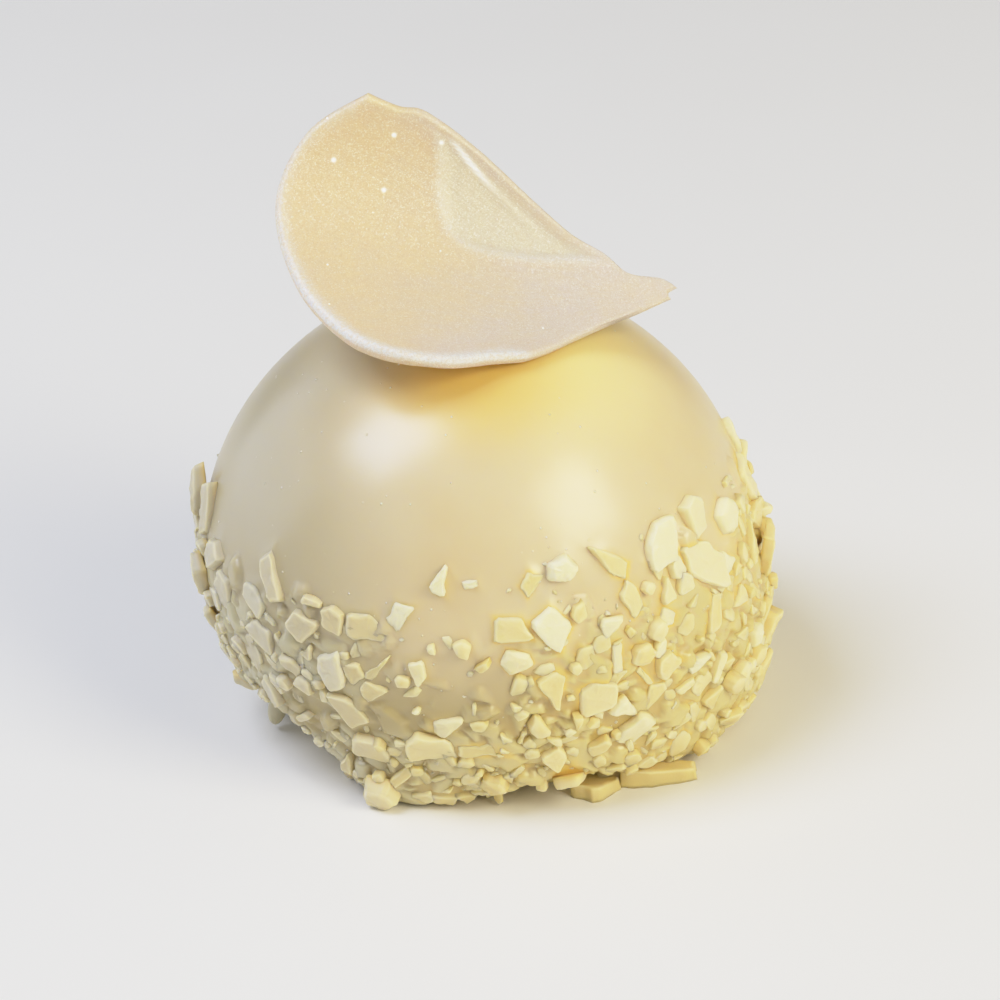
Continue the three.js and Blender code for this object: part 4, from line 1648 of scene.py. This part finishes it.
    def relief(self, points: Array) -> tuple[Array, dict[str, Array]]:
        """Works out how the glaze swells, creeps up to pieces and lies over the sunken ones.

        Args:
            points: Points of the bare glaze in mm.

        Returns:
            How far each one stands out in mm, and the attributes valley and coated.
        """
        height = points[:, 2]
        low = 1 - smoothstep(height, *self.ragged_to)
        pored = 1 - smoothstep(height, *self.pored_to)
        rise = self.swell * roughly(points, self.swell_mm)
        rise += pored * self.pore * roughly(points, self.pore_mm, self.pore_offset)
        rise += low * self.ragged * roughly(points, self.ragged_mm, self.ragged_offset)
        close, covered = self.close_to_pieces(points), self.covered_at(points)
        sunk = self.coat.raised_at(points)
        rise += np.maximum(sunk, self.creep * close) * smoothstep(height, *self.creep_from)
        # Painted shade and glow: in the crevices close to pieces, and on the open glaze among them.
        deep = self.crevice_shade * close ** self.valley_fall
        deep = deep + self.open_valley * covered * (1 - smoothstep(sunk, *self.open_mm))
        coated = covered * smoothstep(sunk, *self.coated_mm)
        return rise, {"crevice_shade": np.minimum(deep, 1), "coated": coated}

    def build(self, material: bpy.types.Material) -> bpy.types.Object:
        """Builds the glazed dome from a sphere whose rows are drawn down over the form.

        Args:
            material: The glaze's finish.

        Returns:
            The piece.
        """
        dome, azimuth, slope = self.cast_grid()
        points = self.form.point(azimuth, slope)
        rise, shades = self.relief(points)
        points = points + self.outward(azimuth, slope) * rise[:, None]
        points[:, 2] = np.maximum(points[:, 2], 0)
        place_points(dome, points)
        write_values(dome, shades)
        self.close_base(dome)
        dome.data.shade_smooth()
        dome.data.materials.append(material)
        return dome

    def close_base(self, dome: bpy.types.Object) -> None:
        """Closes the flat base: its edge is drawn in twice and then to the middle.

        Args:
            dome: The dome.
        """
        select_points(dome, points_of(dome)[:, 2] < SAME_MM)
        for share in self.base_steps:
            bpy.ops.mesh.extrude_region_move()
            bpy.ops.transform.resize(value=(share, share, 1), center_override=(0, 0, 0))
        bpy.ops.mesh.extrude_region_move()
        bpy.ops.mesh.merge(type="CENTER")
        bpy.ops.mesh.select_all(action="SELECT")
        bpy.ops.mesh.normals_make_consistent(inside=False)
        deselect_all()

    def build_drip(self, material: bpy.types.Material) -> bpy.types.Object:
        """Builds the drip that hangs from the glaze at the left.

        Args:
            material: The glaze's finish.

        Returns:
            The piece.
        """
        radius = self.drip_radius
        deselect_all()
        bpy.ops.mesh.primitive_uv_sphere_add(segments=32, ring_count=20, radius=radius * MM)
        drip = bpy.context.active_object
        drip.name = "glaze_drip"
        points = points_of(drip)
        share = (points[:, 2:] + radius) / (2 * radius)
        flared = 1 + self.drip_flare * smoothstep(share, self.drip_flare_from, 1.0)
        foot, top = np.array(self.drip_foot), np.array(self.drip_top)
        place_points(drip, foot + (top - foot) * share + points * (1, 1, 0) * flared)
        write_values(drip, {"coated": np.ones(len(points))})
        drip.data.shade_smooth()
        drip.data.materials.append(material)
        return drip


@dataclass(frozen=True)
class Stroke:
    """One edge of the flat sheet, as a smooth line through a few points."""

    points: tuple[tuple[float, float], ...]

    def at(self, share: Array) -> Array:
        """Gives points of the edge.

        Args:
            share: How far along each one lies, from 0 to 1.

        Returns:
            Flat points in mm.
        """
        knots = np.array(self.points)
        last = len(knots) - 1
        place = np.asarray(share, float) * last
        index = np.minimum(np.floor(place).astype(int), last)
        part = (place - index)[..., None]
        before = knots[np.maximum(index - 1, 0)]
        here, after = knots[index], knots[np.minimum(index + 1, last)]
        beyond = knots[np.minimum(index + 2, last)]
        leaving, arriving = (after - before) / 2, (beyond - here) / 2
        cubic = 2 * here - 2 * after + leaving + arriving
        square = -3 * here + 3 * after - 2 * leaving - arriving
        return cubic * part ** 3 + square * part ** 2 + leaving * part + here


@dataclass(frozen=True)
class Sheet:
    """The petal's sheet as it lay flat, with one value for each of its points.

    Along and across are shares of the stroke, and flat is the place. Inward is how far it lies
    from the sheet's edge and beside how far from the knife's line, all in mm. Spread is 1 where
    the knife spread it thinnest.
    """

    along: Array
    across: Array
    flat: Array
    inward: Array
    beside: Array
    spread: Array


@dataclass
class PearlPetal:
    """The petal: chocolate spread with one stroke of a knife and set round a cylinder.

    Lengths are in mm, and pairs are spans over which something fades in or out.
    """

    form: GlazedForm
    sheet_radius: float = 27.0
    tilt: float = 13.8
    rest: float = 17.0
    gap: float = 0.35
    start_thickness: float = 1.6
    tip_thickness: float = 1.0
    bead: float = 0.8
    upper_bead: float = 0.4
    bead_width: float = 0.09
    bead_end: tuple[float, float] = (0.36, 0.46)
    rim: float = 0.2
    columns: int = 130
    rows: int = 90
    crowding: float = 0.8
    start: Stroke = Stroke((
        (-16.2, -10.5), (-20.7, -9.9), (-25.6, -6.5), (-32.4, 2.8),
        (-36.6, 14.8), (-34.0, 25.0), (-26.9, 31.7)))
    upper: Stroke = Stroke((
        (-26.9, 31.7), (-22.5, 30.7), (-18.7, 30.6), (-10.9, 26.8), (-2.7, 21.5),
        (3.4, 17.7), (8.2, 15.8), (11.9, 13.6), (16.3, 13.7), (18.6, 12.8)))
    lower: Stroke = Stroke((
        (-16.2, -10.5), (-11.2, -9.3), (-5.7, -6.2), (-1.3, -4.2), (1.4, -2.2),
        (5.8, 2.0), (10.1, 5.6), (14.5, 8.6), (17.9, 11.0)))
    tip: Stroke = Stroke(((17.9, 11.0), (17.5, 11.8), (18.6, 12.8)))
    # The shallow dish that the knife left: its lower edge, its depth and how soft its edge is.
    dish_edge: Stroke = Stroke((
        (-17.5, 29.5), (-16.1, 24.0), (-15.7, 20.4), (-14.6, 17.0), (-12.6, 14.1),
        (-10.0, 12.8), (-5.8, 12.4), (-0.4, 12.8), (5.0, 13.8), (10.5, 14.6)))
    dish_depth: float = 0.4
    dish_soft: float = 2.2
    dish_span: tuple[float, float] = (-0.3, 0.7)
    dish_lip: float = 0.3
    dish_shade: float = 0.8
    shown_bead: float = 0.4
    inner_mm: tuple[float, float] = (0.4, 2.5)
    knife_line: Stroke = Stroke((
        (-14.5, 27.4), (-13.2, 26.2), (-11.2, 24.4), (-8.6, 22.2), (-5.5, 19.8), (-2.6, 18.0)))
    ridge: float = 0.16
    ridge_mm: float = 0.55
    # The fine marks of the stroke: their height, spacing and how far they are drawn out.
    mark: float = 0.035
    mark_mm: float = 1.6
    mark_stretch: float = 0.12
    # The painted highlight along the knife's line: how wide it is, and where it fades out.
    smear_mm: float = 0.3
    smear_end: tuple[float, float] = (-12.5, -6.5)
    # Where the dust looks cool: its way over the sheet, its span, and the upper edge.
    cold_way: tuple[float, float] = (0.75, -0.5)
    cold_mm: tuple[float, float] = (-30.0, 6.0)
    cold_edge: float = 0.75
    cold_across: tuple[float, float] = (0.86, 0.98)
    cold_along: tuple[float, float] = (0.1, 0.3)
    # Where pearl dust and a painted highlight whiten the rim: how far in, how much of it higher up, and
    # where it ends.
    dust_mm: tuple[float, float] = (2.6, 0.3)
    dust_on_lip: float = 0.3
    dust_above: float = 0.35
    dust_low: tuple[float, float] = (0.8, 0.35)
    dust_end: tuple[float, float] = (0.9, 1.0)
    # Where the largest painted glints lie, on the pearl dust.
    glints: tuple[tuple[float, float], ...] = (
        (-22.5, 26.8), (-29.9, 22.0), (-16.0, 26.9), (-22.6, 19.1), (-13.4, 21.4), (-12.1, 20.2))

    def flat_points(self, along: Array, across: Array) -> Array:
        """Blends points of the flat sheet from its four edges.

        Args:
            along: Shares along the stroke.
            across: Shares across it, from the lower edge.

        Returns:
            Flat points in mm.
        """
        u, v = along[:, None], across[:, None]
        ends = self.start.at(across) * (1 - u) + self.tip.at(across) * u
        sides = self.lower.at(along) * (1 - v) + self.upper.at(along) * v
        corners = [np.array(s.points[i]) for s, i in (
            (self.start, 0), (self.start, -1), (self.tip, 0), (self.tip, -1))]
        first = corners[0] * (1 - v) + corners[1] * v
        last = corners[2] * (1 - v) + corners[3] * v
        return ends + sides - (first * (1 - u) + last * u)

    def plain_thickness(self, along: Array) -> Array:
        """Gives the sheet's thickness in mm without its beads, by shares along the stroke."""
        return lerp(self.start_thickness, self.tip_thickness, along)

    def thickness_at(self, along: Array, across: Array) -> Array:
        """Gives the sheet's thickness with its beads.

        Args:
            along: Shares along the stroke.
            across: Shares across it, from the lower edge.

        Returns:
            Millimetres for each point.
        """
        def near(share: Array) -> Array:
            """Falls from 1 at an edge to 0 over the bead's width."""
            return np.exp(-((share / self.bead_width) ** 2))

        lower = self.bead * near(across) * (1 - smoothstep(along, *self.bead_end))
        upper = self.upper_bead * near(1 - across) * (1 - along)
        return self.plain_thickness(along) + np.maximum.reduce([self.bead * near(along), lower, upper])

    def bent(self, flat: Array, offset: Array) -> Array:
        """Bends flat points round the cylinder.

        Args:
            flat: Flat points in mm.
            offset: How far each lies from the sheet's middle, towards the cylinder's outside.

        Returns:
            Points in mm.
        """
        tilt, rest = math.radians(self.tilt), math.radians(self.rest)
        axis = np.array([math.cos(tilt), 0, -math.sin(tilt)])
        outward = np.array([math.sin(tilt), 0, math.cos(tilt)]) * math.cos(rest)
        outward = outward + np.array([0, -math.sin(rest), 0])
        back = np.cross(outward, axis)
        distance = self.form.dome_radius + self.gap + self.start_thickness / 2 + self.sheet_radius
        centre = np.array([-self.form.lean, 0, self.form.centre_height]) + outward * distance
        radius = (self.sheet_radius - offset)[:, None]
        bend = (flat[:, 1] / self.sheet_radius)[:, None]
        return (centre + axis * flat[:, :1] - outward * radius * np.cos(bend)
                + back * radius * np.sin(bend))

    def lay_out(self, share: Array) -> Sheet:
        """Works out the flat sheet.

        Args:
            share: Each point's place in an even grid, from 0 to 1 along and across.

        Returns:
            The sheet.
        """
        # Rows crowd towards the edges, where the sheet rounds off.
        eased = lerp(share, 0.5 - 0.5 * np.cos(np.pi * share), self.crowding)
        along, across = eased[:, 0], eased[:, 1]
        flat = self.flat_points(along, across)
        edge = flat[(np.abs(share - 0.5) > 0.4999).any(axis=1)]
        inward, _ = nearest(flat, edge)
        beside, _ = nearest(flat, self.knife_line.at(np.linspace(0, 1, 90)))
        return Sheet(along, across, flat, inward, beside, self.spread_at(flat))

    def lip_of(self, sheet: Sheet) -> Array:
        """Gives the dish's raised lip, 1 on its middle and 0 on both sides."""
        return sheet.spread * (1 - sheet.spread) * 4

    def relief(self, sheet: Sheet) -> Array:
        """Works out the marks that the knife left on the upper face.

        Args:
            sheet: The flat sheet.

        Returns:
            Millimetres for each point.
        """
        x, y = sheet.flat[:, 0], sheet.flat[:, 1]
        marks = roughly(np.column_stack([x * self.mark_stretch, y, x * 0]), self.mark_mm)
        ridge = np.exp(-((sheet.beside / self.ridge_mm) ** 2))
        raised = self.mark * marks + self.ridge * ridge + self.dish_lip * self.lip_of(sheet)
        return smoothstep(sheet.inward, *self.inner_mm) * (raised - self.dish_depth * sheet.spread)

    def dusting(self, sheet: Sheet) -> dict[str, Array]:
        """Works out where the chocolate and its dust look different, and where light is painted.

        Args:
            sheet: The flat sheet.

        Returns:
            The attributes bead, warmth, spread and glint by name.
        """
        x, y = sheet.flat[:, 0], sheet.flat[:, 1]
        inner = smoothstep(sheet.inward, *self.inner_mm)
        # Painted highlight: a bright streak along the knife's line, which fades out towards the tip.
        smear = 1 - smoothstep(x, *self.smear_end)
        glint = smear * np.exp(-((sheet.beside / self.smear_mm) ** 2))
        cold = smoothstep(x * self.cold_way[0] + y * self.cold_way[1], *self.cold_mm)
        at_edge = self.cold_edge * smoothstep(sheet.across, *self.cold_across)
        cold = np.maximum(cold, at_edge * smoothstep(sheet.along, *self.cold_along))
        # The rim, and the dish's lip, whitened by dust and a painted highlight.
        dusty = self.rim_dust_and_highlight(sheet) * smoothstep(sheet.inward, *self.dust_mm)
        return {
            "bead": np.maximum(dusty, self.dust_on_lip * self.lip_of(sheet) * inner),
            "warmth": 1 - cold,
            "spread": self.dish_shade * sheet.spread * inner,
            "glint": glint * inner,
        }

    def rim_dust_and_highlight(self, sheet: Sheet) -> Array:
        """Tells how much pearl dust and painted highlight whiten the rim: most at the lower left.

        Args:
            sheet: The flat sheet.

        Returns:
            A share from 0 to 1 for each point.
        """
        towards_top = lerp(self.dust_above, 1.0, smoothstep(sheet.across, *self.dust_low))
        towards_tip = towards_top * (1 - smoothstep(sheet.along, *self.bead_end))
        return towards_tip * (1 - smoothstep(sheet.across, *self.dust_end))

    def build(self, material: bpy.types.Material) -> bpy.types.Object:
        """Builds the petal from a grid that is drawn to its outline, thickened and bent.

        Args:
            material: The pearl-dusted finish.

        Returns:
            The piece.
        """
        deselect_all()
        bpy.ops.mesh.primitive_grid_add(
            x_subdivisions=self.columns, y_subdivisions=self.rows, size=2 * MM, calc_uvs=True)
        petal = bpy.context.active_object
        petal.name = "pearl_petal"
        sheet = self.lay_out((points_of(petal)[:, :2] + 1) / 2)
        self.write_uv(petal, sheet)
        write_values(petal, self.dusting(sheet))
        half = self.thickness_at(sheet.along, sheet.across) / 2
        reach = np.minimum(sheet.inward / half, 1)
        beading = half - self.plain_thickness(sheet.along) / 2
        rounded = half * np.maximum(self.rim, np.sqrt(1 - (1 - reach) ** 2))
        raised = rounded + self.relief(sheet) - (1 - self.shown_bead) * beading * reach
        apply_modifier(petal, "SOLIDIFY", thickness=0.5 * MM, offset=-1.0, use_rim=True)
        faces = [self.bent(sheet.flat, offset) for offset in (raised, -rounded)]
        place_points(petal, np.concatenate(faces))
        self.keep_dust_above(petal, len(sheet.flat))
        petal.data.shade_smooth()
        petal.data.materials.append(material)
        return petal

    def keep_dust_above(self, petal: bpy.types.Object, count: int) -> None:
        """Takes the dust and the rim's painted highlight off the lower face.

        Args:
            petal: The petal.
            count: How many points the upper face has. Those of the lower one come after them.
        """
        layer = petal.data.attributes["bead"].data
        dust = np.empty(len(layer))
        layer.foreach_get("value", dust)
        dust[count:] = 0
        layer.foreach_set("value", dust)

    def spark_places(self) -> Array:
        """Gives the places of the largest painted glints on the upper face, in mm."""
        flat = np.array(self.glints)
        return self.bent(flat, np.full(len(flat), self.start_thickness / 2))

    def spread_at(self, flat: Array) -> Array:
        """Tells where the knife spread the chocolate thinnest.

        Args:
            flat: Flat points in mm.

        Returns:
            From 0 outside the dish to 1 in it.
        """
        edge = self.dish_edge.at(np.linspace(0, 1, 160))
        _, closest = nearest(flat, edge)
        ahead = edge[np.minimum(closest + 1, len(edge) - 1)] - edge[np.maximum(closest - 1, 0)]
        beside = flat - edge[closest]
        side = ahead[:, 0] * beside[:, 1] - ahead[:, 1] * beside[:, 0]
        side = side / np.linalg.norm(ahead, axis=1)
        return smoothstep(side, *(share * self.dish_soft for share in self.dish_span))

    def write_uv(self, petal: bpy.types.Object, sheet: Sheet) -> None:
        """Writes the shares along and across the stroke as the petal's UV map.

        Args:
            petal: The petal.
            sheet: The flat sheet.
        """
        corners = np.empty(len(petal.data.loops), int)
        petal.data.loops.foreach_get("vertex_index", corners)
        shares = np.column_stack([sheet.along, sheet.across])[corners]
        petal.data.uv_layers.active.data.foreach_set("uv", shares.ravel())


@dataclass(frozen=True)
class Softbox:
    """A soft light that faces the dome.

    It lies towards a direction as seen from the dome, and its size is its width and height in
    mm. Its brightness is that of its face, with a white sheet in full light as 1.
    """

    name: str
    towards: tuple[float, float, float]
    size: tuple[float, float]
    brightness: float
    colour: str


@dataclass(frozen=True)
class Studio:
    """The camera, the table and the lights."""

    image_size: int = 1000
    sensor_mm: float = 36.0
    distance: float = 600.0
    elevation: float = 26.8
    roll: float = -2.8
    pixels_per_mm: float = 7.2
    dome_centre_pixel: tuple[float, float] = (478.7, 547.7)
    dome_centre: tuple[float, float, float] = (-3.5, 0.0, 22.5)
    clip_m: tuple[float, float] = (0.05, 20.0)
    table_size: float = 3000.0
    light_distance: float = 900.0
    softboxes: tuple[Softbox, ...] = (
        Softbox("left_softbox", (-0.466, -0.143, 0.879), (440, 480), 8.0, "E2E9FF"),
        Softbox("right_softbox", (0.637, -0.545, 0.56), (430, 480), 6.3, "FFF7DC"),
        Softbox("right_fill", (0.85, 0.15, 0.5), (1300, 1300), 0.42, "FFF4D4"),
        Softbox("front_fill", (0.55, -0.75, 0.36), (1100, 1100), 0.46, "FFF5D8"),
        Softbox("left_rim_light", (-0.93, 0.36, 0.12), (900, 900), 1.5, "E4ECFF"),
    )
    world_strength: float = 0.18
    # Up to the shoulder the picture shows light as it is. Above it, it rolls off to the highest.
    shoulder: float = 0.55
    highest: float = 0.98
    brightest: float = 1.7
    curve_at: tuple[float, ...] = (0.25, 0.55, 0.7, 0.85, 1.0, 1.2, 1.4)

    def add_camera(self) -> None:
        """Adds the camera, which sees the dome's centre at its place in the picture."""
        elevation, roll = math.radians(self.elevation), math.radians(self.roll)
        back = Vector((0, -math.cos(elevation), math.sin(elevation)))
        right = Vector((1, 0, 0))
        up = back.cross(right)
        rolled_right = math.cos(roll) * right + math.sin(roll) * up
        rolled_up = -math.sin(roll) * right + math.cos(roll) * up
        middle = self.image_size / 2
        sideways = (middle - self.dome_centre_pixel[0]) / self.pixels_per_mm
        upwards = (self.dome_centre_pixel[1] - middle) / self.pixels_per_mm
        place = Vector(self.dome_centre) + self.distance * back
        place += sideways * rolled_right + upwards * rolled_up
        data = bpy.data.cameras.new("camera")
        data.sensor_width = self.sensor_mm
        data.lens = self.pixels_per_mm * self.distance / self.image_size * self.sensor_mm
        data.clip_start, data.clip_end = self.clip_m
        camera = bpy.data.objects.new("camera", data)
        turned = Matrix((rolled_right, rolled_up, back)).transposed().to_4x4()
        camera.matrix_world = Matrix.Translation(place * MM) @ turned
        bpy.context.scene.collection.objects.link(camera)
        bpy.context.scene.camera = camera

    def add_softbox(self, softbox: Softbox) -> None:
        """Adds a soft light.

        Args:
            softbox: The light.
        """
        data = bpy.data.lights.new(softbox.name, "AREA")
        data.shape = "RECTANGLE"
        data.size, data.size_y = softbox.size[0] * MM, softbox.size[1] * MM
        data.energy = softbox.brightness * math.pi * data.size * data.size_y
        data.color = linear(softbox.colour)[:3]
        light = bpy.data.objects.new(softbox.name, data)
        direction = Vector(softbox.towards).normalized()
        light.location = (Vector(self.dome_centre) + direction * self.light_distance) * MM
        light.rotation_euler = direction.to_track_quat("Z", "Y").to_euler()
        bpy.context.scene.collection.objects.link(light)

    def add_table(self) -> None:
        deselect_all()
        bpy.ops.mesh.primitive_plane_add(size=self.table_size * MM, location=(0, 0, 0))
        table = bpy.context.active_object
        table.name = "table"
        table.data.materials.append(PaleTable().material())

    def build(self) -> None:
        """Builds the studio."""
        self.add_camera()
        self.add_table()
        for softbox in self.softboxes:
            self.add_softbox(softbox)
        world = bpy.data.worlds.new("studio")
        world.use_nodes = True
        background = world.node_tree.nodes["Background"]
        background.inputs["Color"].default_value = linear("FFFFFF")
        background.inputs["Strength"].default_value = self.world_strength
        bpy.context.scene.world = world
        bpy.context.scene.view_settings.view_transform = "Standard"
        self.soften_bright()

    def soften_bright(self) -> None:
        """Gives the picture a shoulder, so that bright light rolls off instead of clipping."""
        settings = bpy.context.scene.view_settings
        settings.use_curve_mapping = True
        mapping = settings.curve_mapping
        mapping.white_level = (self.brightest,) * 3
        curve = mapping.curves[3]
        curve.points[0].location = (0.0, 0.0)
        curve.points[1].location = (1.0, self.rolled(self.brightest))
        for bright in self.curve_at:
            curve.points.new(bright / self.brightest, self.rolled(bright))
        mapping.update()

    def rolled(self, bright: float) -> float:
        """Gives the value that the picture shows for a brightness.

        Args:
            bright: The brightness.

        Returns:
            The value, the same up to the shoulder and less above it.
        """
        if bright <= self.shoulder:
            return bright
        room = self.highest - self.shoulder
        return self.shoulder + room * (1 - math.exp((self.shoulder - bright) / room))


def dress(piece: bpy.types.Object, node: str) -> None:
    """Puts a piece under the CAD body, hides the CAD node that it stands for, and logs its triangles.

    Args:
        piece: The piece.
        node: The CAD node.
    """
    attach(piece, "root")
    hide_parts(node)
    piece.data.calc_loop_triangles()
    LOG.info("%s: %d triangles", piece.name, len(piece.data.loop_triangles))


def main() -> None:
    """Builds the cake and its studio, and logs how many triangles each piece of the cake has."""
    logging.basicConfig(level=logging.INFO, format="%(name)s: %(message)s")
    form = GlazedForm()
    glaze = MirrorGlaze().material()
    chocolate = BrokenWhiteChocolate().material()
    coat = ChocolateCoat(form)
    coat.lay_out()
    dome = GlazedDome(form, coat)
    dress(dome.build(glaze), "cake")
    dress(dome.build_drip(glaze), "cake")
    for piece in coat.build(chocolate):
        dress(piece, "cake")
    petal = PearlPetal(form)
    dusted = PearlDustedChocolate().material(petal.spark_places())
    dress(petal.build(dusted), "petal")
    Studio().build()


if __name__ == "__main__":
    main()
